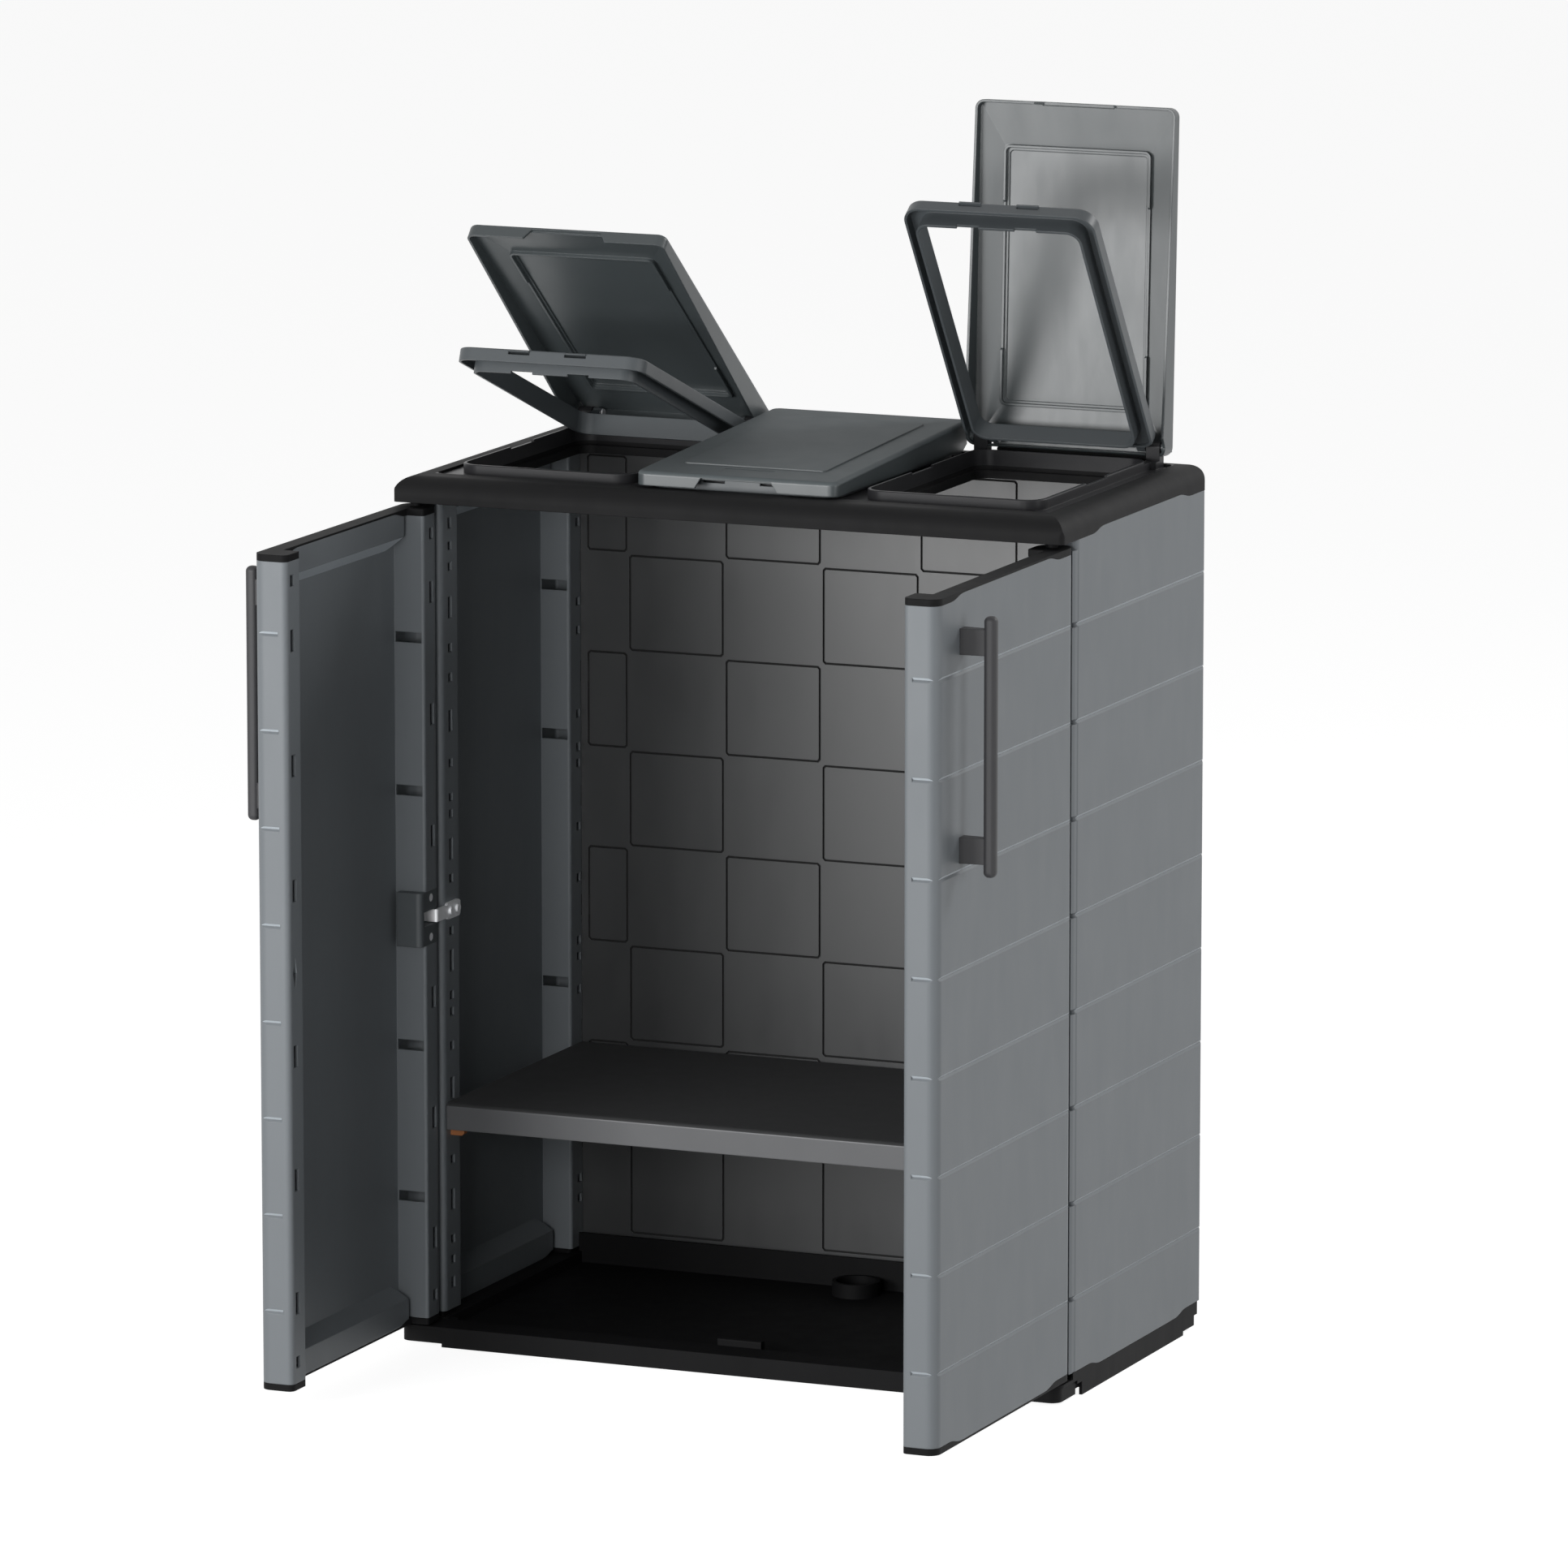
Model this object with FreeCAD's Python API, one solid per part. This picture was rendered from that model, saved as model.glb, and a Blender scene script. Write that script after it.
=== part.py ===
import FreeCAD, Part
import math
import os

# Moulded resin recycling cabinet. Millimetres, +Z up, front towards -Y, origin on the
# floor under the middle of the base. The pieces stand as in use: both doors open at a
# right angle, left and right lid raised with their bag frames, middle lid closed.

V = FreeCAD.Vector
ORIGIN = V(0, 0, 0)
X_AXIS = V(1, 0, 0)
Y_AXIS = V(0, 1, 0)
Z_AXIS = V(0, 0, 1)
TINY = 1e-6

# Overall size
WIDTH = 680.0
DEPTH = 370.0
WALL = 3.0  # moulded wall of panels, base, cover and shelf
OVER = 5.0  # how far a cutting shape runs past the face it cuts

# Fits
RUN_FIT = 0.05  # radial clearance of a pin that turns in its bore
PLUG_FIT = 0.3  # clearance round a plug in a hollow post
LOOSE_FIT = 0.5  # between large mouldings that lie side by side
DOOR_FIT = 1.0  # hinge edge of a door to the side panel

# Doors and side panels: a skin with a hollow post along each upright edge
PANEL_T = 34.0  # thickness over the posts
POST_W = 38.0
FREE_POST_W = 30.0  # post along a door's free edge
EDGE_R = 6.0
FREE_EDGE_R = 11.0  # outer corner of a door's free edge
POST_R = 3.0
RISE = 4.5  # the middle of a panel reaches past its posts, top and bottom
RISE_RUN = 34.0
RAIL_T = 17.0  # thickness over the top and bottom rail
RAIL_H = 38.0
RAIL_SLOPE = 14.0
RAIL_GAP = 7.0  # end of a rail to the post
RAIL_END_R = 20.0
SIDE_H = 788.0
GROOVE_COUNT = 8
GROOVE_PITCH = 91.2
GROOVE_H = 4.4
GROOVE_DEPTH = 1.7
PATTERN_Z = 416.0  # middle of the grooves, slots and windows

# Openings in the posts
SLOT_W = 8.0
SLOT_H = 21.0
SHORT_SLOT_H = 11.0
DOOR_SLOTS = (78.0, 195.0, 312.0)  # slot levels above and below the middle
SIDE_SLOTS = (54.0, 178.0, 287.0)
SHORT_SLOT = 368.0
FREE_SLOT_IN = 12.5  # from the free edge
HINGE_SLOT_IN = 21.5  # from the hinge edge
LOZENGE_H = 30.0
WINDOW_H = 10.0
WINDOWS = (123.0, 270.0)
PEG = 8.0  # square shelf peg
SHELF_DROP = 219.5  # the hole this far below the middle carries the shelf
PEG_HOLES = (25.5, 88.0, 104.0, 137.0, SHELF_DROP, 248.0, 326.0, 346.0)
PEG_OUT = 14.0
PEG_IN = 7.0
PEG_FIT = 0.2

# Base tray
BASE_RIM_Z = 26.0  # the side panels' posts stand at this height
LEDGE_Z = 19.5  # ledge under the doors
FLOOR_Z = 10.0
BASE_R = 12.0
CORNER_BLOCK = 46.0
CORNER_IN = 2.0  # corner blocks lie this far inside the skirt
CORNER_LIFT = 3.0
CORNER_NOTCH_W = 12.0
CORNER_NOTCH_Z = 13.0
REAR_STEPS = ((18.0, 13.5), (47.0, 4.0))  # distance from the rear, height cut away below
RISER_Z = 39.5  # rear riser in front of the back panel
PLUG_L = 22.0
PLUG_WALL = 2.5
STOP_W = 45.0
STOP_T = 8.0
STOP_Z = 26.0
BOSS_R = 23.5
BOSS_H = 14.0
BOSS_WALL = 4.0
BOSS_GAP = 2.0
RIB_PITCH = 110.0

# Doors
DOOR_SPLIT = 4.0  # gap between the closed doors
DOOR_LIFT = 2.0
DOOR_TOP_GAP = 5.0
CAP_T = 6.5
CAP_PLUG_L = 14.0
CAP_FIT = 0.1
PIVOT_R = 5.0
PIVOT_L = 10.0
PIVOT_END = 0.5

# Handles
HANDLE_L = 239.0
HANDLE_SPAN = 191.0
HANDLE_Z = 668.0
HANDLE_IN = 58.0  # from the door's free edge
HANDLE_OUT = 28.0  # bar centre to door face
BAR_W = 12.0
BAR_T = 12.0
BAR_R = 5.0
FOOT_W = 13.0
FOOT_H = 24.0
FOOT_R = 5.0

# Screws
SCREW_R = 2.0
SCREW_HEAD_R = 3.8
SCREW_HEAD_H = 2.0
SCREW_FIT = 0.05
DRIVER_FIT = 0.5  # round a screw head that a tool has to reach
HANDLE_SCREW_L = 15.0
HINGE_SCREW_L = 12.0
ARM_SCREW_L = 9.0

# Steel hinge at mid height of each door
HINGE_Z = 416.0
HOUSING_S = 48.0
HOUSING_N = 8.0
HOUSING_H = 52.0
HOUSING_R = 6.0
ARM_SLOT_S = 42.0
ARM_SLOT_N = 10.0
ARM_SLOT_H = 14.0
ARM_H = 12.0
ARM_T = 3.0
EYE_R = 6.0
HINGE_PIN_R = 2.5
HINGE_PIN_L = 40.0
PLATE_L = 30.0
PLATE_H = 16.0
PLATE_IN = 3.0
PLATE_R = 4.0
HOUSING_SCREW_S = 9.0
HOUSING_SCREW_Z = 19.0
PLATE_SCREWS = (8.0, 23.0)

# Back panel
BACK_T = 5.0
BACK_RIM_T = 9.0
BACK_RIM_W = 14.0
SQUARE_W = 102.0
SQUARE_H = 96.7
SQUARE_IN = 1.0
SQUARE_GROOVE_W = 2.0
SQUARE_GROOVE_DEPTH = 2.2
SQUARE_CLIP = 1.6  # corners of the squares are clipped by this much
HOOK_H = 20.0
HOOK_OUT = 9.0
HOOK_T = 4.0
HOOK_FIT = 0.5

# Shelf
SHELF_LIP = 26.0
SHELF_LIP_R = 4.0
SHELF_END_GAP = 1.5
SHELF_FRONT_IN = 2.0

# Top cover
COVER_H = 24.0
COVER_R = 5.0  # upright corners
COVER_EDGE_R = 18.0  # round front and ends
COVER_REAR_R = 6.0
BORDER_FRONT = 36.0
BORDER_SIDE = 28.0
BORDER_REAR = 13.0
DECK_R = 8.0
DECK_DROP = 2.5
BAY_MARGIN = 29.5  # end of the cover to the first bay
COLLAR_GAP = 28.0  # between the collars of neighbouring bays
COLLAR_FRONT_IN = 51.0
COLLAR_REAR_IN = 35.0
COLLAR_R = 20.0
COLLAR_H = 10.0
COLLAR_TOP_R = 1.2  # rounding along the top of the collar
DIP_L = 53.0  # shallow dip in each side of the collar
DIP_H = 2.0
DIP_BACK = 10.5  # middle of the dip behind the middle of the cabinet
CHUTE_DEPTH = 19.0  # top of the collar to the ledge inside it
CHUTE_LIP = 4.0  # width of the ledge
CHUTE_LIP_H = 8.0  # ledge to the lower edge of the chute

# Lid hinges: bag frame ear, cover knuckle and lid eye side by side on one pin
LID_AXIS_IN = 20.0  # in front of the cover's rear edge
LID_AXIS_UP = 19.5  # above the deck
LID_PIN_R = 2.5
LID_PIN_HEAD_R = 4.0
LID_PIN_HEAD_T = 1.5
KNUCKLE_R = 5.5
KNUCKLE_W = 14.0
KNUCKLE_GAP = 1.0  # bag frame to the knuckle behind it
TAIL_W = 6.0  # collar wall where it runs back to a knuckle
EAR_GAP = 1.0
EAR_W = 8.5
EAR_R = 5.0

# Bag frames
FRAME_T = 2.5
FRAME_OUTER_GAP = 4.0
FRAME_INNER_GAP = 3.0
FRAME_SEAT = 1.0  # room for the bag between collar and frame
FRAME_OUTER_SKIRT = 12.5
FRAME_INNER_SKIRT = 20.5
FRAME_REAR_SKIRT = 5.5
FRAME_R = 18.0
FRAME_INNER_R = 12.0
FRAME_SLOT_L = 22.0
FRAME_SLOT_X = 29.0
FRAME_SLOT_H = 2.4
FRAME_TAB = 2.0  # small ledge over each slot

# Lids
LID_T = 2.5
LID_SIDE_GAP = 3.5  # bag frame to the lid's side skirt
LID_FRONT_GAP = 14.0
LID_BEHIND = 9.0  # rear edge behind the hinge axis
LID_LIFT = 2.5  # skirt above the cover's border
LID_FRONT_H = 13.5
LID_REAR_H = 29.0
LID_R = 9.0
LID_EDGE_R = 4.0
LID_HIP = 3.0  # the underside falls by this much from the pane to the skirt
LID_NOTCH_W = 84.0
LID_NOTCH_TOP_W = 71.0
LID_NOTCH_H = 10.0
PANE_SIDE_IN = 29.5  # raised middle of the lid
PANE_FRONT_IN = 45.0
PANE_REAR_IN = 42.0
PANE_UP = 1.5
PANE_R = 4.0
PANE_RIB = 4.0  # rib round the pane, lower along the middle of its sides
PANE_RIB_LOW = 2.0
PANE_RIB_END = 52.0
LABEL_W = 50.0
LABEL_L = 18.0
LABEL_IN = 18.0
LABEL_DEPTH = 0.6

# Opening angles as the cabinet stands, in degrees from closed
LEFT_LID_OPEN = 41.5
LEFT_FRAME_OPEN = 20.5
RIGHT_LID_OPEN = 95.0
RIGHT_FRAME_OPEN = 55.5

# Places worked out from the sizes above
HALF_W = WIDTH / 2
FRONT_Y = -DEPTH / 2
REAR_Y = DEPTH / 2
INNER_X = HALF_W - PANEL_T  # inner face of the posts
SIDE_FRONT_Y = FRONT_Y + PANEL_T + DOOR_FIT
SIDE_W = REAR_Y - SIDE_FRONT_Y
COVER_Z = BASE_RIM_Z + SIDE_H
BORDER_Z = COVER_Z + COVER_H
DECK_Z = BORDER_Z - DECK_DROP
DOOR_W = (WIDTH - DOOR_SPLIT) / 2
DOOR_Z0 = LEDGE_Z + DOOR_LIFT + CAP_T
DOOR_Z1 = COVER_Z - DOOR_TOP_GAP - CAP_T
PIVOT_X = HALF_W - PANEL_T / 2
PIVOT_Y = FRONT_Y + PANEL_T / 2
FRONT_POST_Y = SIDE_FRONT_Y + POST_W / 2
REAR_POST_Y = REAR_Y - POST_W / 2
BACK_Y1 = REAR_Y - WALL - LOOSE_FIT
BACK_Y0 = BACK_Y1 - BACK_RIM_T
RISER_Y1 = REAR_Y - REAR_STEPS[0][0]
REAR_LEDGE_Z = REAR_STEPS[0][1] + WALL
SIDE_MID_Z = BASE_RIM_Z + SIDE_H / 2
SHELF_PEG_Z = SIDE_MID_Z - SHELF_DROP
SHELF_Z0 = SHELF_PEG_Z + PEG / 2
SHELF_Z1 = SHELF_Z0 + SHELF_LIP
BAY_PITCH = (WIDTH - 2 * BAY_MARGIN) / 3
COLLAR_HALF = (BAY_PITCH - COLLAR_GAP) / 2
COLLAR_FRONT = FRONT_Y + COLLAR_FRONT_IN
COLLAR_REAR = REAR_Y - COLLAR_REAR_IN
COLLAR_Z = DECK_Z + COLLAR_H
LEDGE_IN_Z = COLLAR_Z - CHUTE_DEPTH
CHUTE_Z0 = LEDGE_IN_Z - CHUTE_LIP_H
LID_AXIS_Y = REAR_Y - LID_AXIS_IN
LID_AXIS_Z = DECK_Z + LID_AXIS_UP
KNUCKLE_IN = COLLAR_HALF - (WALL + KNUCKLE_W) / 2
EAR_IN = KNUCKLE_IN - EAR_GAP - EAR_W
EYE_IN = KNUCKLE_IN + KNUCKLE_W + EAR_GAP
FRAME_GROW = FRAME_OUTER_GAP + FRAME_T
FRAME_HALF = COLLAR_HALF + FRAME_GROW
FRAME_Z0 = COLLAR_Z + FRAME_SEAT
FRAME_Z1 = FRAME_Z0 + FRAME_T
LID_HALF = FRAME_HALF + LID_SIDE_GAP + LID_T
PANE_HALF = LID_HALF - PANE_SIDE_IN
LID_Y0 = COLLAR_FRONT - FRAME_GROW - LID_FRONT_GAP - LID_T
LID_Y1 = LID_AXIS_Y + LID_BEHIND
LID_Z0 = BORDER_Z + LID_LIFT
LID_SLOPE = (LID_REAR_H - LID_FRONT_H) / (LID_Y1 - LID_Y0)


# Basic forms
def box(x0, x1, y0, y1, z0, z1):
    return Part.makeBox(x1 - x0, y1 - y0, z1 - z0, V(x0, y0, z0))


def rect(x0, x1, y0, y1, r=0.0):
    """Corners of a rectangle, each with the same rounding."""
    return [(x0, y0, r), (x1, y0, r), (x1, y1, r), (x0, y1, r)]


def outline(corners, z):
    """Closed wire at height z through (x, y, radius) corners."""
    ends = []
    count = len(corners)
    for i, (x, y, r) in enumerate(corners):
        here = V(x, y, z)
        back = (V(*corners[i - 1][:2], z) - here).normalize()
        ahead = (V(*corners[(i + 1) % count][:2], z) - here).normalize()
        half = back.getAngle(ahead) / 2
        run = r / math.tan(half)
        middle = here + (back + ahead).normalize() * (r / math.sin(half) - r)
        ends.append((here + back * run, middle, here + ahead * run, r))
    edges = []
    for i, (start, middle, end, r) in enumerate(ends):
        if r > 0:
            edges.append(Part.Arc(start, middle, end).toShape())
        ahead = ends[(i + 1) % count][0]
        if (ahead - end).Length > TINY:
            edges.append(Part.LineSegment(end, ahead).toShape())
    return Part.Wire(edges)


def prism(corners, z0, z1):
    return Part.Face(outline(corners, z0)).extrude(V(0, 0, z1 - z0))


def sharp(*points):
    """Corners without rounding."""
    return [(a, b, 0.0) for a, b in points]


def clipped(a0, a1, b0, b1, clip):
    """Rectangle with its corners cut off straight."""
    return sharp((a0 + clip, b0), (a1 - clip, b0), (a1, b0 + clip), (a1, b1 - clip),
                 (a1 - clip, b1), (a0 + clip, b1), (a0, b1 - clip), (a0, b0 + clip))


def along_x(corners, x0, x1):
    """Prism along X of an outline given in (y, z)."""
    return prism(corners, x0, x1).rotated(ORIGIN, V(1, 1, 1), 120)


def along_y(corners, y0, y1):
    """Prism along Y of an outline given in (x, z)."""
    return prism(corners, -y1, -y0).rotated(ORIGIN, X_AXIS, 90)


def rod_x(r, x0, x1, y, z):
    return Part.makeCylinder(r, x1 - x0, V(x0, y, z), X_AXIS)


def rod_z(r, x, y, z0, z1):
    return Part.makeCylinder(r, z1 - z0, V(x, y, z0), Z_AXIS)


def mirrored(shape):
    return shape.mirror(ORIGIN, X_AXIS)


def joined(shapes):
    return shapes[0].fuse(shapes[1:]).removeSplitter()


def write(name, shape):
    shape.exportStep("parts/%s.step" % name)


# Doors and side panels, in their own frame: X along the panel from its front or hinge
# edge, Y from the outer face inwards, Z up
def panel_outline(width, last_w, first_r, last_r, middle_t):
    """Section of a panel whose second post has its own width."""
    inner = width - last_w
    return [
        (0, 0, first_r), (width, 0, last_r), (width, PANEL_T, EDGE_R), (inner, PANEL_T, POST_R),
        (inner, middle_t, 0.0), (POST_W, middle_t, 0.0), (POST_W, PANEL_T, POST_R), (0, PANEL_T, first_r),
    ]


def post_hollows(width, last_w, first_r, last_r, inset=0.0):
    """Outlines of the hollows in both posts, each drawn in by an inset."""
    w = WALL + inset
    first_r -= w
    low, high = w, PANEL_T - w
    first = [(w, low, first_r), (POST_W - w, low, 0.0), (POST_W - w, high, 0.0), (w, high, first_r)]
    s0, s1 = width - last_w + w, width - w
    last = [(s0, low, 0.0), (s1, low, last_r - WALL), (s1, high, EDGE_R - WALL), (s0, high, 0.0)]
    return first, last


def s_curve(start, end):
    """Curve in an upright plane that leaves and meets its ends level."""
    middle = (start + end) * 0.5
    curve = Part.BezierCurve()
    curve.setPoles([start, V(middle.x, middle.y, start.z), V(middle.x, middle.y, end.z), end])
    return curve.toShape()


def middle_rise(width, last_w, edge_z, up, n0, n1, gap=0.0):
    """What the middle of a panel holds beyond its posts, between two S-curves."""
    top = edge_z + up * (RISE + gap)
    a, d = POST_W - gap, width - last_w + gap
    low_a, top_a = V(a, n0, edge_z), V(a + RISE_RUN, n0, top)
    low_d, top_d = V(d, n0, edge_z), V(d - RISE_RUN, n0, top)
    edges = [
        s_curve(low_a, top_a), Part.LineSegment(top_a, top_d).toShape(),
        s_curve(top_d, low_d), Part.LineSegment(low_d, low_a).toShape(),
    ]
    return Part.Face(Part.Wire(edges)).extrude(V(0, n1 - n0, 0))


def rail(width, last_w, edge_z, up):
    """Hollow rail: out from the skin on a slope, then straight to the edge, with round ends."""
    foot = edge_z - up * RAIL_H
    knee = foot + up * RAIL_SLOPE
    skin = WALL / 2
    past = edge_z + up * OVER
    inner = RAIL_T - WALL
    s0, s1 = POST_W + RAIL_GAP, width - last_w - RAIL_GAP
    t0, t1 = s0 + WALL, s1 - WALL
    r = RAIL_END_R - WALL
    slope = along_x(sharp((skin, foot), (RAIL_T, knee), (RAIL_T, edge_z), (skin, edge_z)), s0, s1)
    ends = [(s0, foot, RAIL_END_R), (s1, foot, RAIL_END_R), (s1, past, 0.0), (s0, past, 0.0)]
    under = sharp((skin, foot + up * 2 * WALL), (inner, knee + up * WALL), (inner, past), (skin, past))
    hollow = [(t0, foot + up * WALL, r), (t1, foot + up * WALL, r), (t1, past, 0.0), (t0, past, 0.0)]
    body = slope.common(along_y(ends, 0, PANEL_T))
    return body.cut(along_x(under, s0, s1).common(along_y(hollow, 0, PANEL_T)))


def groove_levels():
    first = PATTERN_Z - GROOVE_PITCH * (GROOVE_COUNT - 1) / 2
    return [first + i * GROOVE_PITCH for i in range(GROOVE_COUNT)]


def grooves(width):
    """V grooves across the outer face and a little way round the far edge."""
    cuts = []
    for z in groove_levels():
        half = GROOVE_H
        face = sharp((-GROOVE_DEPTH, z + half), (GROOVE_DEPTH, z), (-GROOVE_DEPTH, z - half))
        cuts.append(along_x(face, -OVER, width + OVER))
        out = width + GROOVE_DEPTH
        edge = sharp((out, z + half), (width - GROOVE_DEPTH, z), (out, z - half))
        cuts.append(along_y(edge, -OVER, PANEL_T - EDGE_R - WALL))
    return cuts


def face_slot(s, z, w, h):
    """Slot through the inner face of a post."""
    return box(s - w / 2, s + w / 2, PANEL_T - 3 * WALL / 2, PANEL_T + OVER, z - h / 2, z + h / 2)


def post_windows(width, last_w):
    """Windows in the post walls that face each other across the panel."""
    cuts = []
    for z in both_ways(PATTERN_Z, WINDOWS):
        z0, z1 = z - WINDOW_H / 2, z + WINDOW_H / 2
        n0, n1 = WALL + 1, PANEL_T - WALL
        cuts.append(box(POST_W - WALL - 1, POST_W + 1, n0, n1, z0, z1))
        cuts.append(box(width - last_w - 1, width - last_w + WALL + 1, n0, n1, z0, z1))
    return cuts


def both_ways(middle, levels):
    """Heights at the given distances above and below a middle."""
    return [middle + side * level for side in (-1, 1) for level in levels]


def panel(width, last_w, z0, z1, first_r, last_r):
    """Moulded panel between two post ends, before its slots are cut."""
    low, high = z0 - RISE, z1 + RISE
    body = joined([
        prism(panel_outline(width, last_w, first_r, last_r, WALL), low, high),
        rail(width, last_w, high, 1), rail(width, last_w, low, -1)])
    hollows = post_hollows(width, last_w, first_r, last_r)
    cuts = [prism(hollow, low - 1, high + 1) for hollow in hollows]
    for edge_z, up in ((z0, -1), (z1, 1)):
        far = edge_z + up * (RISE + OVER)
        ends = box(-OVER, width + OVER, -OVER, PANEL_T + OVER, min(edge_z, far), max(edge_z, far))
        cuts.append(ends.cut(middle_rise(width, last_w, edge_z, up, -2 * OVER, PANEL_T + 2 * OVER)))
    return body.cut(cuts + grooves(width) + post_windows(width, last_w))


def side_panel():
    """Right side panel."""
    body = panel(SIDE_W, POST_W, BASE_RIM_Z, COVER_Z, EDGE_R, EDGE_R)
    hole = PEG + 2 * PEG_FIT
    front = POST_W / 2
    rear = SIDE_W - POST_W / 2
    peg_zs = [z + PEG_FIT for z in both_ways(SIDE_MID_Z, PEG_HOLES)]
    cuts = [face_slot(s, z, hole, hole) for s in (front, rear) for z in peg_zs]
    cuts += [face_slot(front, z, SLOT_W, SLOT_H) for z in both_ways(SIDE_MID_Z, SIDE_SLOTS)]
    cuts += [face_slot(front, z, SLOT_W, SHORT_SLOT_H) for z in both_ways(SIDE_MID_Z, (SHORT_SLOT,))]
    hook_s = BACK_Y0 + BACK_T / 2 - SIDE_FRONT_Y
    hook_w = HOOK_T + 2 * HOOK_FIT
    cuts += [face_slot(hook_s, z, hook_w, HOOK_H + 2 * HOOK_FIT) for z in both_ways(SIDE_MID_Z, SIDE_SLOTS)]
    for s in PLATE_SCREWS:
        start = V(PLATE_IN + s, PANEL_T - 3 * WALL / 2, HINGE_Z)
        cuts.append(Part.makeCylinder(SCREW_R + SCREW_FIT, 2 * WALL, start, Y_AXIS))
    body = body.cut(cuts)
    return body.rotated(ORIGIN, Z_AXIS, 90).translated(V(HALF_W, SIDE_FRONT_Y, 0))


# Doors, in the panel frame with the hinge edge first
def place_door(shape):
    """Left door, open at a right angle."""
    return shape.rotated(ORIGIN, Z_AXIS, -90).translated(V(-HALF_W, FRONT_Y + PANEL_T, 0))


def handle_s():
    return DOOR_W - HANDLE_IN


def handle_feet():
    return (HANDLE_Z - HANDLE_SPAN / 2, HANDLE_Z + HANDLE_SPAN / 2)


def housing_box():
    half = HOUSING_H / 2
    return box(-OVER, HOUSING_S, HOUSING_N, PANEL_T + OVER, HINGE_Z - half, HINGE_Z + half)


def door_panel():
    half_round = PANEL_T / 2
    body = panel(DOOR_W, FREE_POST_W, DOOR_Z0, DOOR_Z1, half_round, FREE_EDGE_R)
    free = DOOR_W - FREE_SLOT_IN
    cuts = [housing_box()]
    for s in (HINGE_SLOT_IN, free):
        cuts += [face_slot(s, z, SLOT_W, SLOT_H) for z in both_ways(PATTERN_Z, DOOR_SLOTS)]
        cuts += [face_slot(s, z, SLOT_W, SHORT_SLOT_H) for z in both_ways(PATTERN_Z, (SHORT_SLOT,))]
    lozenge = sharp(
        (free - SLOT_W / 2, PATTERN_Z), (free, PATTERN_Z - LOZENGE_H / 2),
        (free + SLOT_W / 2, PATTERN_Z), (free, PATTERN_Z + LOZENGE_H / 2))
    cuts.append(along_y(lozenge, PANEL_T - WALL - 1, PANEL_T + 1))
    for z in handle_feet():
        s = handle_s()
        cuts.append(Part.makeCylinder(SCREW_R + SCREW_FIT, 2 * WALL, V(s, -WALL / 2, z), Y_AXIS))
        cuts.append(Part.makeCylinder(SCREW_HEAD_R + DRIVER_FIT, PANEL_T, V(s, WALL, z), Y_AXIS))
    return body.cut(cuts)


def door_cap(edge_z, up, gap):
    """End cap that follows the door's section, plugs its posts and carries a pivot pin."""
    half_round = PANEL_T / 2
    far = edge_z + up * CAP_T
    section = panel_outline(DOOR_W, FREE_POST_W, half_round, FREE_EDGE_R, RAIL_T)
    body = prism(section, min(edge_z, far), max(edge_z, far))
    body = body.cut(middle_rise(DOOR_W, FREE_POST_W, edge_z, up, -OVER, PANEL_T + OVER, CAP_FIT))
    tip = edge_z - up * CAP_PLUG_L
    root = edge_z + up * CAP_T / 2
    plugs = [prism(h, min(tip, root), max(tip, root))
             for h in post_hollows(DOOR_W, FREE_POST_W, half_round, FREE_EDGE_R, PLUG_FIT)]
    pin_end = far + up * (gap + PIVOT_L)
    pin = rod_z(PIVOT_R, half_round, half_round, min(root, pin_end), max(root, pin_end))
    return joined([body] + plugs + [pin])


def handle():
    """Bar with round ends on two feet that widen towards the door."""
    s = handle_s()
    z0 = HANDLE_Z - HANDLE_L / 2
    n0 = -HANDLE_OUT - BAR_T / 2
    bar = box(s - BAR_W / 2, s + BAR_W / 2, n0, n0 + BAR_T, z0, z0 + HANDLE_L)
    bar = bar.makeFillet(BAR_R, bar.Edges)
    pieces = [bar]
    holes = []
    for z in handle_feet():
        foot_s = sharp((s - FOOT_W / 2, 0), (s + FOOT_W / 2, 0), (s + BAR_W / 3, -HANDLE_OUT),
                       (s - BAR_W / 3, -HANDLE_OUT))
        wide = prism(foot_s, z - FOOT_H / 2, z + FOOT_H / 2)
        upright = rect(s - FOOT_W, s + FOOT_W, z - FOOT_H / 2, z + FOOT_H / 2, FOOT_R)
        tall = along_y(upright, -HANDLE_OUT, 0)
        pieces.append(wide.common(tall))
        depth = HANDLE_SCREW_L - WALL + 1
        holes.append(Part.makeCylinder(SCREW_R + SCREW_FIT, depth, V(s, -depth, z), Y_AXIS))
    return joined(pieces).cut(holes)


def screw(place, direction, length):
    """Screw with a flat round head: seat at the given place, shank along the direction."""
    shank = Part.makeCylinder(SCREW_R, length, place, direction)
    head = Part.makeCylinder(SCREW_HEAD_R, SCREW_HEAD_H, place - direction * SCREW_HEAD_H, direction)
    return joined([head, shank])


def handle_screws():
    return Part.makeCompound([
        screw(V(handle_s(), WALL, z), V(0, -1, 0), HANDLE_SCREW_L) for z in handle_feet()])


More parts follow.
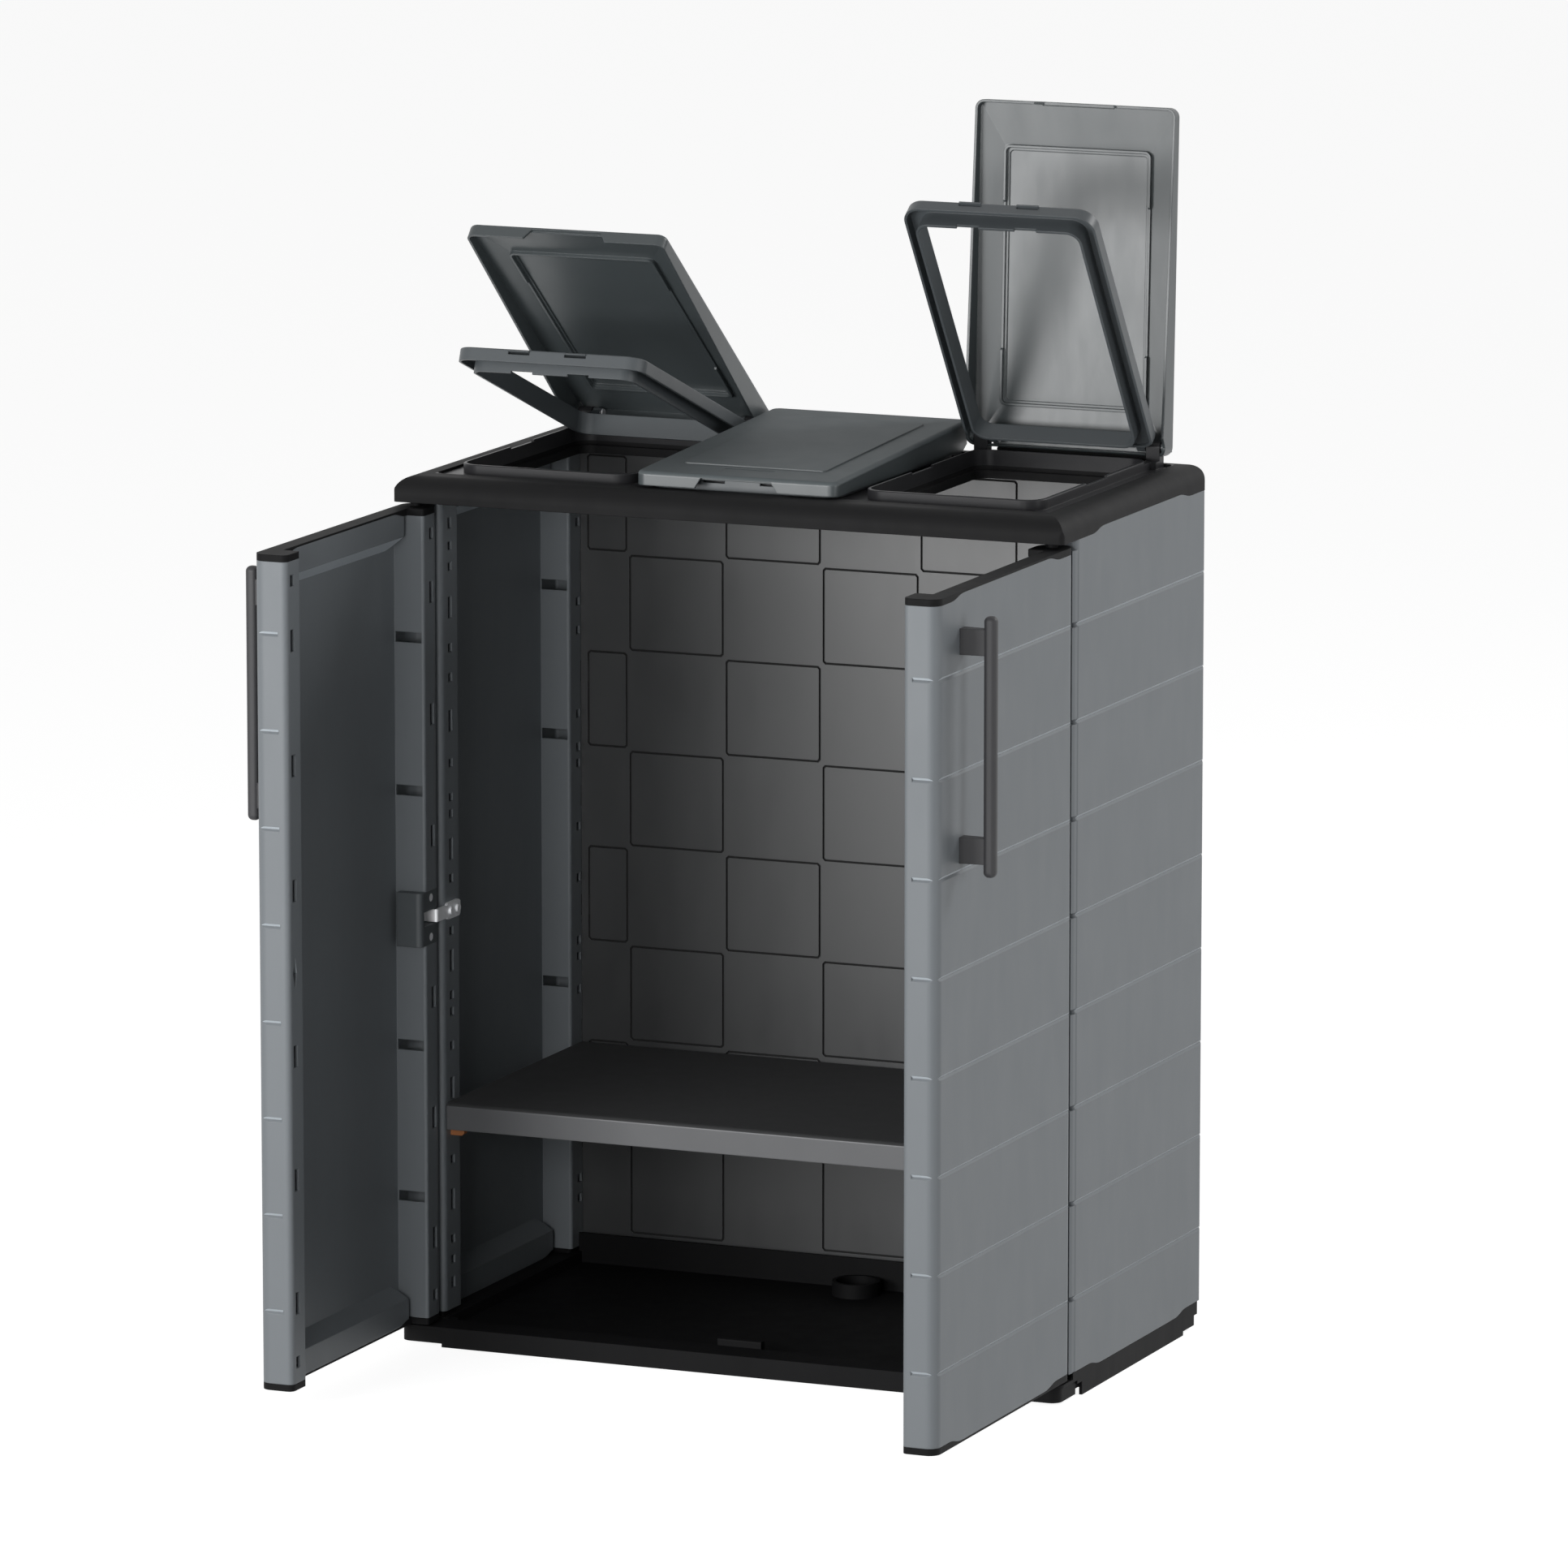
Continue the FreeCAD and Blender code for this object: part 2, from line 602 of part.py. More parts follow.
# Steel hinge at mid height
def hinge_housing():
    """Moulded block that fills the gap in the hinge post, slotted for the steel arm."""
    r = PANEL_T / 2
    z0, z1 = HINGE_Z - HOUSING_H / 2, HINGE_Z + HOUSING_H / 2
    plan = [(0, 0, r), (HOUSING_S, 0, 0.0), (HOUSING_S, PANEL_T, HOUSING_R), (0, PANEL_T, r)]
    body = prism(plan, z0, z1).common(housing_box())
    slot_half = ARM_SLOT_H / 2
    slot = box(-OVER, ARM_SLOT_S, ARM_SLOT_N, PANEL_T + OVER, HINGE_Z - slot_half, HINGE_Z + slot_half)
    pin_half = HINGE_PIN_L / 2
    bore = rod_z(HINGE_PIN_R + SCREW_FIT, r, r, HINGE_Z - pin_half, HINGE_Z + pin_half)
    cuts = [slot, bore]
    for place in housing_screw_places():
        head = Part.makeCylinder(SCREW_HEAD_R + SCREW_FIT, SCREW_HEAD_H + OVER, place, Y_AXIS)
        shank = Part.makeCylinder(SCREW_R + SCREW_FIT, HINGE_SCREW_L, place, V(0, -1, 0))
        cuts += [head, shank]
    return body.cut(cuts)


def housing_screw_places():
    n = PANEL_T - SCREW_HEAD_H - SCREW_FIT
    s = PANEL_T / 2 + HOUSING_SCREW_S
    return [V(s, n, HINGE_Z - HOUSING_SCREW_Z), V(s, n, HINGE_Z + HOUSING_SCREW_Z)]


def housing_screws():
    return Part.makeCompound([
        screw(place, V(0, -1, 0), HINGE_SCREW_L - SCREW_FIT) for place in housing_screw_places()])


def hinge_pin():
    half = HINGE_PIN_L / 2
    r = PANEL_T / 2
    return rod_z(HINGE_PIN_R, r, r, HINGE_Z - half, HINGE_Z + half)


def plate_screw_ys():
    return [SIDE_FRONT_Y + PLATE_IN + s for s in PLATE_SCREWS]


def hinge_arm():
    """Left arm: eye on the door's axis, cranked round to a plate on the front post."""
    z0, z1 = HINGE_Z - ARM_H / 2, HINGE_Z + ARM_H / 2
    x0, x1 = -INNER_X, -INNER_X + ARM_T
    y0 = PIVOT_Y - ARM_T / 2
    y1 = SIDE_FRONT_Y + PLATE_IN
    y2 = y1 + PLATE_L
    crank = [(-PIVOT_X, y0, 0.0), (x1, y0, ARM_T), (x1, y2, 0.0), (x0, y2, 0.0),
             (x0, y0 + ARM_T, 0.0), (-PIVOT_X, y0 + ARM_T, 0.0)]
    plate = along_x(rect(y1, y2, HINGE_Z - PLATE_H / 2, HINGE_Z + PLATE_H / 2, PLATE_R), x0, x1)
    eye = rod_z(EYE_R, -PIVOT_X, PIVOT_Y, z0, z1)
    body = joined([prism(crank, z0, z1), plate, eye])
    cuts = [rod_z(HINGE_PIN_R + RUN_FIT, -PIVOT_X, PIVOT_Y, z0 - 1, z1 + 1)]
    cuts += [rod_x(SCREW_R + SCREW_FIT, x0 - 1, x1 + 1, y, HINGE_Z) for y in plate_screw_ys()]
    return body.cut(cuts)


def arm_screws():
    x = -INNER_X + ARM_T
    return Part.makeCompound([
        screw(V(x, y, HINGE_Z), V(-1, 0, 0), ARM_SCREW_L) for y in plate_screw_ys()])


# Base, back, shelf
def post_plug(y_mid, z0, z1, foot_up):
    """Hollow plug in a post of the right side panel, open at its free end."""
    x0, x1 = INNER_X + WALL + PLUG_FIT, HALF_W - WALL - PLUG_FIT
    half = POST_W / 2 - WALL - PLUG_FIT
    r = EDGE_R - WALL
    outer = prism(rect(x0, x1, y_mid - half, y_mid + half, r), z0, z1)
    w = PLUG_WALL
    inner = rect(x0 + w, x1 - w, y_mid - half + w, y_mid + half - w)
    return outer.cut(prism(inner, z0 + w, z1 + 1) if foot_up else prism(inner, z0 - 1, z1 - w))


def base_tray():
    foot = rect(-HALF_W, HALF_W, FRONT_Y, REAR_Y, BASE_R)
    inside = rect(-HALF_W + WALL, HALF_W - WALL, FRONT_Y + WALL, REAR_Y - WALL, BASE_R - WALL)
    skirt = prism(foot, 0, BASE_RIM_Z).cut(prism(inside, -1, BASE_RIM_Z + 1))
    front_low = box(-WIDTH, WIDTH, -DEPTH, SIDE_FRONT_Y, LEDGE_Z, BASE_RIM_Z + 1)
    skirt = skirt.cut(front_low)
    floor_part = box(-WIDTH, WIDTH, -DEPTH, RISER_Y1, 0, RISER_Z)
    floor = prism(inside, FLOOR_Z - WALL, FLOOR_Z).common(floor_part)
    ledge_y1 = SIDE_FRONT_Y
    ledge = prism(foot, LEDGE_Z - WALL, LEDGE_Z).common(
        box(-WIDTH, WIDTH, -DEPTH, ledge_y1, 0, RISER_Z))
    step = box(-HALF_W + WALL, HALF_W - WALL, ledge_y1 - WALL, ledge_y1, FLOOR_Z - WALL, LEDGE_Z)
    pieces = [skirt, floor, ledge, step]
    side_z = BASE_RIM_Z - RISE - LOOSE_FIT
    for x0, x1 in ((-HALF_W + 1, -INNER_X), (INNER_X, HALF_W - 1)):
        pieces.append(box(x0, x1, ledge_y1 - 1, REAR_Y - BASE_R, side_z - WALL, side_z))
        wall_x = x1 if x1 < 0 else x0 - WALL
        pieces.append(box(wall_x, wall_x + WALL, ledge_y1 - 1, RISER_Y1, FLOOR_Z - WALL, side_z))
    for y_mid in (FRONT_POST_Y, REAR_POST_Y):
        plug = post_plug(y_mid, FLOOR_Z - WALL, BASE_RIM_Z + PLUG_L, True)
        pieces += [plug, mirrored(plug)]
    riser = box(-INNER_X, INNER_X, RISER_Y1 - WALL, RISER_Y1, FLOOR_Z - WALL, RISER_Z)
    rear_ledge_low = REAR_LEDGE_Z - WALL
    rear_ledge = box(-HALF_W + 1, HALF_W - 1, RISER_Y1 - 1, REAR_Y - 1, rear_ledge_low, REAR_LEDGE_Z)
    rear_ledge = rear_ledge.common(prism(foot, 0, BASE_RIM_Z))
    stop_y0 = ledge_y1 + LOOSE_FIT
    stop_y1 = stop_y0 + STOP_T
    stop_section = [(stop_y0, FLOOR_Z - WALL, 0.0), (stop_y1, FLOOR_Z - WALL, 0.0),
                    (stop_y1, STOP_Z, WALL), (stop_y0, STOP_Z, WALL / 3)]
    stop = along_x(stop_section, -STOP_W / 2, STOP_W / 2)
    boss_y = RISER_Y1 - WALL - BOSS_R - BOSS_GAP
    boss = rod_z(BOSS_R, 0, boss_y, FLOOR_Z - WALL, FLOOR_Z + BOSS_H)
    boss = boss.cut(rod_z(BOSS_R - BOSS_WALL, 0, boss_y, FLOOR_Z, FLOOR_Z + BOSS_H + 1))
    pieces += [riser, rear_ledge, stop, boss]
    pieces += underside_ribs()
    block = CORNER_BLOCK
    for side in (-1, 1):
        x_out, x_in = side * (HALF_W - CORNER_IN), side * (HALF_W - block)
        y_out, y_in = FRONT_Y + CORNER_IN, FRONT_Y + block
        corner = rect(min(x_out, x_in), max(x_out, x_in), y_out, y_in, BASE_R - CORNER_IN)
        pieces.append(prism(corner, CORNER_LIFT, LEDGE_Z))
    body = joined(pieces)
    return body.cut(base_cuts())


def underside_ribs():
    """Ribs under the floor that reach the ground, with one through the middle each way."""
    ribs = [box(-HALF_W + 1, HALF_W - 1, -WALL / 2, WALL / 2, 0, FLOOR_Z - 1)]
    count = int((HALF_W - PANEL_T) / RIB_PITCH)
    for i in range(-count, count + 1):
        x = i * RIB_PITCH
        ribs.append(box(x - WALL / 2, x + WALL / 2, FRONT_Y + 1, RISER_Y1 - 1, 0, FLOOR_Z - 1))
    return ribs


def base_cuts():
    """S-curved rim, stepped corners, rear recess and the door pivot bores."""
    cuts = [box(-WIDTH, WIDTH, REAR_Y - run, REAR_Y + 1, -1, top) for run, top in REAR_STEPS]
    rim = middle_rise(SIDE_W, POST_W, BASE_RIM_Z, -1, -1, WALL + 1, PLUG_FIT)
    rim = rim.rotated(ORIGIN, Z_AXIS, 90).translated(V(HALF_W, SIDE_FRONT_Y, 0))
    cuts += [rim, mirrored(rim)]
    bore_z0 = LEDGE_Z - PIVOT_L - PIVOT_END
    frame_out = prism(rect(-WIDTH, WIDTH, -DEPTH, DEPTH), -1, LEDGE_Z - WALL)
    inset_x = HALF_W - CORNER_IN
    inset = rect(-inset_x, inset_x, FRONT_Y + CORNER_IN, REAR_Y - CORNER_IN, BASE_R - CORNER_IN)
    ring = frame_out.cut(prism(inset, -2, LEDGE_Z))
    for side in (-1, 1):
        block_y = FRONT_Y + CORNER_BLOCK
        x0, x1 = sorted((side * (HALF_W - CORNER_BLOCK), side * WIDTH))
        cuts.append(ring.common(box(x0, x1, -DEPTH, block_y, -1, LEDGE_Z)))
        cuts.append(box(x0, x1, -DEPTH, block_y, -1, CORNER_LIFT))
        x0, x1 = sorted((side * (HALF_W - WALL - 1), side * WIDTH))
        cuts.append(box(x0, x1, block_y, block_y + CORNER_NOTCH_W, -1, CORNER_NOTCH_Z))
        cuts.append(rod_z(PIVOT_R + RUN_FIT, side * PIVOT_X, PIVOT_Y, bore_z0, LEDGE_Z + 1))
    return cuts


def back_squares():
    """Grooves that outline every other square of a grid on the front face."""
    cuts = []
    half = INNER_X - LOOSE_FIT - BACK_RIM_W / 2
    columns = int(half / SQUARE_W) + 1
    z_top = DECK_Z - WALL - BACK_RIM_W
    z_low = RISER_Z + SQUARE_IN
    rows = int((z_top - z_low) / SQUARE_H) + 1
    for column in range(-columns, columns + 1):
        for row in range(rows):
            if (column + row) % 2:
                continue
            x0 = max(-half, (column - 0.5) * SQUARE_W + SQUARE_IN)
            x1 = min(half, (column + 0.5) * SQUARE_W - SQUARE_IN)
            z0 = z_low + row * SQUARE_H + SQUARE_IN
            z1 = min(z_top, z_low + (row + 1) * SQUARE_H - SQUARE_IN)
            w = SQUARE_GROOVE_W
            if x1 - x0 < 4 * w or z1 - z0 < 4 * w:
                continue
            y0, y1 = BACK_Y0 - 1, BACK_Y0 + SQUARE_GROOVE_DEPTH
            ring = along_y(clipped(x0, x1, z0, z1, SQUARE_CLIP + w / 2), y0, y1)
            island = along_y(clipped(x0 + w, x1 - w, z0 + w, z1 - w, SQUARE_CLIP), y0 - 1, y1 + 1)
            cuts.append(ring.cut(island))
    return cuts


def back_panel():
    """Ribbed plate with a rim, hooked into the rear posts on both sides."""
    half = INNER_X - LOOSE_FIT
    z0, z1 = REAR_LEDGE_Z, DECK_Z - WALL - LOOSE_FIT
    body = box(-half, half, BACK_Y0, BACK_Y1, z0, z1)
    w = BACK_RIM_W
    pocket_edges = [-half + w]
    columns = int((half - w) / SQUARE_W)
    for i in range(-columns, columns + 1):
        pocket_edges += [i * SQUARE_W - WALL / 2, i * SQUARE_W + WALL / 2]
    pocket_edges.append(half - w)
    pockets = []
    for x0, x1 in zip(pocket_edges[::2], pocket_edges[1::2]):
        pockets.append(box(x0, x1, BACK_Y0 + BACK_T, BACK_Y1 + 1, z0 + w, z1 - w))
    body = body.cut(pockets + back_squares())
    hooks = []
    for z in both_ways(SIDE_MID_Z, SIDE_SLOTS):
        y0 = BACK_Y0 + BACK_T / 2 - HOOK_T / 2
        tongue = [(half - w, z - HOOK_H / 2, 0.0), (half + HOOK_OUT, z - HOOK_H / 2, WALL),
                  (half + HOOK_OUT, z + HOOK_H / 2, WALL), (half - w, z + HOOK_H / 2, 0.0)]
        hook = along_y(tongue, y0, y0 + HOOK_T)
        hooks += [hook, mirrored(hook)]
    return joined([body] + hooks)


def shelf():
    """Tray-like shelf turned over: flat top, lips all round, ribs below."""
    half = INNER_X - SHELF_END_GAP
    y0 = SIDE_FRONT_Y + SHELF_FRONT_IN
    y1 = BACK_Y0 - SHELF_END_GAP
    r = SHELF_LIP_R
    section = [(y0, SHELF_Z0, 0.0), (y1, SHELF_Z0, 0.0), (y1, SHELF_Z1, r), (y0, SHELF_Z1, r)]
    outer = along_x(section, -half, half)
    top = SHELF_Z1 - WALL
    inner = box(-half + WALL, half - WALL, y0 + WALL, y1 - WALL, SHELF_Z0 - 1, top)
    ribs = []
    count = int(half / RIB_PITCH)
    for i in range(-count, count + 1):
        x = i * RIB_PITCH
        ribs.append(box(x - WALL / 2, x + WALL / 2, y0 + 1, y1 - 1, SHELF_Z0 + SHELF_LIP / 2, top + 1))
    return joined([outer.cut(inner)] + ribs)


def shelf_pegs():
    """Four square pegs in the posts' holes, under the ends of the shelf."""
    pegs = []
    for y in (FRONT_POST_Y, REAR_POST_Y):
        z0, z1 = SHELF_PEG_Z - PEG / 2, SHELF_PEG_Z + PEG / 2
        profile = [(INNER_X - PEG_OUT, z0, PEG / 2), (INNER_X + PEG_IN, z0, 1.0),
                   (INNER_X + PEG_IN, z1, 0.0), (INNER_X - PEG_OUT, z1, 0.0)]
        peg = along_y(profile, y - PEG / 2, y + PEG / 2)
        pegs += [peg, mirrored(peg)]
    return Part.makeCompound(pegs)


# Top cover
def collar_rect(grow, r):
    """Outline of a chute collar at the middle bay, made larger by the given amount."""
    half = COLLAR_HALF + grow
    return rect(-half, half, COLLAR_FRONT - grow, COLLAR_REAR + grow, r)


def collar(grow, z0, z1):
    """Prism on a collar's outline whose corners keep their centres as it grows."""
    return prism(collar_rect(grow, COLLAR_R + grow), z0, z1)


def bays():
    return (-BAY_PITCH, 0.0, BAY_PITCH)


def knuckle():
    """Hinge knuckle to the right of a bay's middle, at the rear end of the collar's side."""
    y0, y1 = LID_AXIS_Y - KNUCKLE_R, LID_AXIS_Y + KNUCKLE_R
    low = FRAME_Z1 - FRAME_REAR_SKIRT - KNUCKLE_GAP
    stem = sharp((COLLAR_REAR, DECK_Z - 1), (y1, DECK_Z - 1), (y1, LID_AXIS_Z), (y0, LID_AXIS_Z),
                 (y0, low), (COLLAR_REAR, low))
    x0, x1 = KNUCKLE_IN, KNUCKLE_IN + KNUCKLE_W
    tail = box(COLLAR_HALF - TAIL_W, COLLAR_HALF, COLLAR_REAR - COLLAR_R, COLLAR_REAR + 1, DECK_Z - 1, low)
    body = joined([along_x(stem, x0, x1), rod_x(KNUCKLE_R, x0, x1, LID_AXIS_Y, LID_AXIS_Z), tail])
    return body.cut(rod_x(LID_PIN_R + SCREW_FIT, x0 - 1, x1 + 1, LID_AXIS_Y, LID_AXIS_Z))


def cover_form(inset, rear_r, z0, z1):
    """Block with a round front, round ends and upright corners, drawn in by an inset."""
    half = HALF_W - inset
    y0, y1 = FRONT_Y + inset, REAR_Y - inset
    r = COVER_EDGE_R - inset
    front = [(y0, z0, 0.0), (y1, z0, 0.0), (y1, z1, rear_r), (y0, z1, r)]
    ends = [(-half, z0, 0.0), (half, z0, 0.0), (half, z1, r), (-half, z1, r)]
    block = along_x(front, -half, half).common(along_y(ends, y0, y1))
    return block.common(prism(rect(-half, half, y0, y1, COVER_R - inset), z0 - 1, z1 + 1))


def chute():
    """Collar, wall, ledge and lip of the middle bay's chute, before its way through is cut."""
    body = collar(0, CHUTE_Z0, COLLAR_Z)
    top_edges = [e for e in body.Edges if e.BoundBox.ZMin > COLLAR_Z - TINY]
    body = body.makeFillet(COLLAR_TOP_R, top_edges)
    around = collar(WALL, CHUTE_Z0 - 1, LEDGE_IN_Z - WALL).cut(collar(-CHUTE_LIP, CHUTE_Z0 - 2, COLLAR_Z))
    return body.cut(around)


def chute_cuts():
    """Way through the middle bay's chute, and the dips in the sides of its collar."""
    dip_y = DIP_BACK - DIP_L / 2
    wide = COLLAR_HALF + 1
    return [collar(-WALL, LEDGE_IN_Z, COLLAR_Z + 1), collar(-WALL - CHUTE_LIP, CHUTE_Z0 - 1, COLLAR_Z),
            box(-wide, wide, dip_y, dip_y + DIP_L, COLLAR_Z - DIP_H, COLLAR_Z + 1)]


def top_cover():
    outer = cover_form(0.0, COVER_REAR_R, COVER_Z, BORDER_Z)
    deck_x = HALF_W - BORDER_SIDE
    deck = rect(-deck_x, deck_x, FRONT_Y + BORDER_FRONT, REAR_Y - BORDER_REAR, DECK_R)
    inside = cover_form(WALL, 0.0, COVER_Z - 1, DECK_Z - WALL)
    pieces = [outer.cut([inside, prism(deck, DECK_Z, BORDER_Z + 1)])]
    for side in (-1, 1):
        x0, x1 = sorted((side * (INNER_X - WALL), side * (HALF_W - 1)))
        pivot_block = box(x0, x1, FRONT_Y + 1, SIDE_FRONT_Y, COVER_Z, DECK_Z - 1)
        pieces.append(pivot_block.common(outer))
    below = box(-WIDTH, WIDTH, -DEPTH, DEPTH, COVER_Z - 2 * PLUG_L, COVER_Z)
    room = joined([outer, below])
    for y_mid in (FRONT_POST_Y, REAR_POST_Y):
        plug = post_plug(y_mid, COVER_Z - PLUG_L, DECK_Z - 1, False).common(room)
        pieces += [plug, mirrored(plug)]
    holes = []
    for x in bays():
        place = V(x, 0, 0)
        pieces += [chute().translated(place), knuckle().translated(place), mirrored(knuckle()).translated(place)]
        holes += [cut.translated(place) for cut in chute_cuts()]
    rim = middle_rise(SIDE_W, POST_W, COVER_Z, 1, -1, WALL + 1, PLUG_FIT)
    rim = rim.rotated(ORIGIN, Z_AXIS, 90).translated(V(HALF_W, SIDE_FRONT_Y, 0))
    holes += [rim, mirrored(rim)]
    for side in (-1, 1):
        top = COVER_Z + PIVOT_L + PIVOT_END
        holes.append(rod_z(PIVOT_R + RUN_FIT, side * PIVOT_X, PIVOT_Y, COVER_Z - 1, top))
    return joined(pieces).cut(holes)


# Lids and bag frames, closed, at the middle bay
def swing(shape, degrees, bay_x):
    """Opens a closed lid or bag frame about its hinge axis and moves it to its bay."""
    axis_point = V(0, LID_AXIS_Y, LID_AXIS_Z)
    return shape.rotated(axis_point, V(-1, 0, 0), degrees).translated(V(bay_x, 0, 0))


def lid_top(y, drop=0.0):
    return LID_Z0 + LID_FRONT_H + (y - LID_Y0) * LID_SLOPE - drop


def lid_form():
    """Solid lid: rim, round rear end about the hinge axis, sloping top, round corners."""
    low = LID_AXIS_Z - LID_BEHIND
    side = [(LID_Y0, LID_Z0, 0.0), (LID_AXIS_Y - LID_BEHIND, LID_Z0, 0.0), (LID_AXIS_Y, low, 0.0),
            (LID_Y1, low, LID_BEHIND), (LID_Y1, lid_top(LID_Y1), 0.0), (LID_Y0, lid_top(LID_Y0), 0.0)]
    plan = rect(-LID_HALF, LID_HALF, LID_Y0, LID_Y1, LID_R)
    body = along_x(side, -LID_HALF, LID_HALF).common(prism(plan, LID_Z0 - 1, LID_Z0 + 2 * LID_REAR_H))
    rim = [e for e in body.Edges if max(abs(v.Z - lid_top(v.Y)) for v in e.Vertexes) < TINY]
    return body.makeFillet(LID_EDGE_R, rim)


def sloped_wire(half, y0, y1, drop):
    """Rectangle on a plane below the lid's sloping top."""
    points = [V(x, y, lid_top(y, drop)) for x, y in ((-half, y0), (half, y0), (half, y1), (-half, y1))]
    return Part.makePolygon(points + points[:1])


def lid_hollow():
    """Room under the lid: upright skirt walls, then a hipped ceiling up to the pane's rib."""
    y0, y1 = LID_Y0 + LID_T, LID_Y1 - LID_T
    half = LID_HALF - LID_T
    eaves = LID_T + LID_HIP
    side = sharp((y0, LID_Z0 - 1), (y1, LID_Z0 - 1), (y1, lid_top(y1, eaves)), (y0, lid_top(y0, eaves)))
    room = along_x(side, -half, half)
    low = sloped_wire(half, y0, y1, eaves)
    high = sloped_wire(PANE_HALF + LID_T, LID_Y0 + PANE_FRONT_IN - LID_T, LID_Y1 - PANE_REAR_IN + LID_T, LID_T)
    hip = Part.makeLoft([low, high], True, True)
    plan = prism(rect(-half, half, y0, y1, LID_R - LID_T), LID_Z0 - 2, LID_Z0 + 2 * LID_REAR_H)
    return joined([room, hip]).common(plan)


def pane(grow, low, high):
    """Slab that follows the lid's slope over its raised middle."""
    y0, y1 = LID_Y0 + PANE_FRONT_IN - grow, LID_Y1 - PANE_REAR_IN + grow
    half = PANE_HALF + grow
    z0, z1 = lid_top(y0), lid_top(y1)
    side = sharp((y0, z0 + low), (y1, z1 + low), (y1, z1 + high), (y0, z0 + high))
    plan = rect(-half, half, y0, y1, PANE_R + max(grow, 0))
    return along_x(side, -half, half).common(prism(plan, LID_Z0, LID_Z0 + 2 * LID_REAR_H))


def lid_eye():
    """Right eye on the side skirt, hung from the lid's underside."""
    x0, x1 = EYE_IN, LID_HALF - LID_T / 2
    web = sharp((LID_AXIS_Y - EAR_R, LID_AXIS_Z), (LID_AXIS_Y + EAR_R, LID_AXIS_Z),
                (LID_AXIS_Y + EAR_R, lid_top(LID_AXIS_Y, LID_T / 2)),
                (LID_AXIS_Y - EAR_R, lid_top(LID_AXIS_Y, LID_T / 2)))
    return joined([along_x(web, x0, x1), rod_x(EAR_R, x0, x1, LID_AXIS_Y, LID_AXIS_Z)])


def pane_rib():
    """Rib round the pane on the underside, cut lower along the middle of both sides."""
    rib = pane(LID_T, -LID_T - PANE_RIB, -LID_T / 2).cut(pane(0.0, -2 * LID_REAR_H, 0.0))
    y0, y1 = LID_Y0 + PANE_FRONT_IN + PANE_RIB_END, LID_Y1 - PANE_REAR_IN - PANE_RIB_END
    run = PANE_RIB - PANE_RIB_LOW
    deep = LID_T + PANE_RIB + 1
    gap = sharp((y0 - run, lid_top(y0 - run, deep)), (y1 + run, lid_top(y1 + run, deep)),
                (y1, lid_top(y1, LID_T + PANE_RIB_LOW)), (y0, lid_top(y0, LID_T + PANE_RIB_LOW)))
    return rib.cut(along_x(gap, -LID_HALF, LID_HALF))


def lid():
    shell = lid_form().cut(lid_hollow())
    shell = joined([shell, pane(0.0, -LID_T / 2, PANE_UP), pane_rib(), lid_eye(), mirrored(lid_eye())])
    cuts = [pane(-LID_T, -LID_T - PANE_RIB - 1, PANE_UP - LID_T)]
    half, top_half = LID_NOTCH_W / 2, LID_NOTCH_TOP_W / 2
    notch_z = LID_Z0 + LID_NOTCH_H
    notch = sharp((-half, LID_Z0), (half, LID_Z0), (top_half, notch_z), (-top_half, notch_z))
    cuts.append(along_y(notch, LID_Y0 - 1, LID_Y0 + LID_T + 1))
    notch_y = LID_Y1 - LID_T - 1
    for side in (-1, 1):
        x0, x1 = sorted((side * (KNUCKLE_IN - EAR_GAP / 2), side * (EYE_IN - EAR_GAP / 2)))
        cuts.append(box(x0, x1, notch_y, LID_Y1 + 1, LID_Z0 - 1, LID_Z0 + 2 * LID_REAR_H))
    bore = rod_x(LID_PIN_R + RUN_FIT, EYE_IN - 1, LID_HALF - LID_T, LID_AXIS_Y, LID_AXIS_Z)
    cuts += [bore, mirrored(bore)]
    y0 = LID_Y0 + LABEL_IN
    y1 = y0 + LABEL_L
    label = sharp((y0, lid_top(y0, LABEL_DEPTH)), (y1, lid_top(y1, LABEL_DEPTH)),
                  (y1, lid_top(y1) + 1), (y0, lid_top(y0) + 1))
    cuts.append(along_x(label, -LABEL_W / 2, LABEL_W / 2))
    return shell.cut(cuts)


def frame_ear():
    """Right ear of a bag frame, from the ring's rear bar to the hinge axis."""
    y0 = COLLAR_REAR - WALL - FRAME_INNER_GAP
    arm = sharp((y0, FRAME_Z0), (LID_AXIS_Y - 3 * EAR_R, FRAME_Z0), (LID_AXIS_Y, LID_AXIS_Z - EAR_R),
                (LID_AXIS_Y, LID_AXIS_Z + EAR_R), (COLLAR_REAR, FRAME_Z1), (y0, FRAME_Z1))
    x0, x1 = EAR_IN, EAR_IN + EAR_W
    body = joined([along_x(arm, x0, x1), rod_x(EAR_R, x0, x1, LID_AXIS_Y, LID_AXIS_Z)])
    return body.cut(rod_x(LID_PIN_R + RUN_FIT, x0 - 1, x1 + 1, LID_AXIS_Y, LID_AXIS_Z))


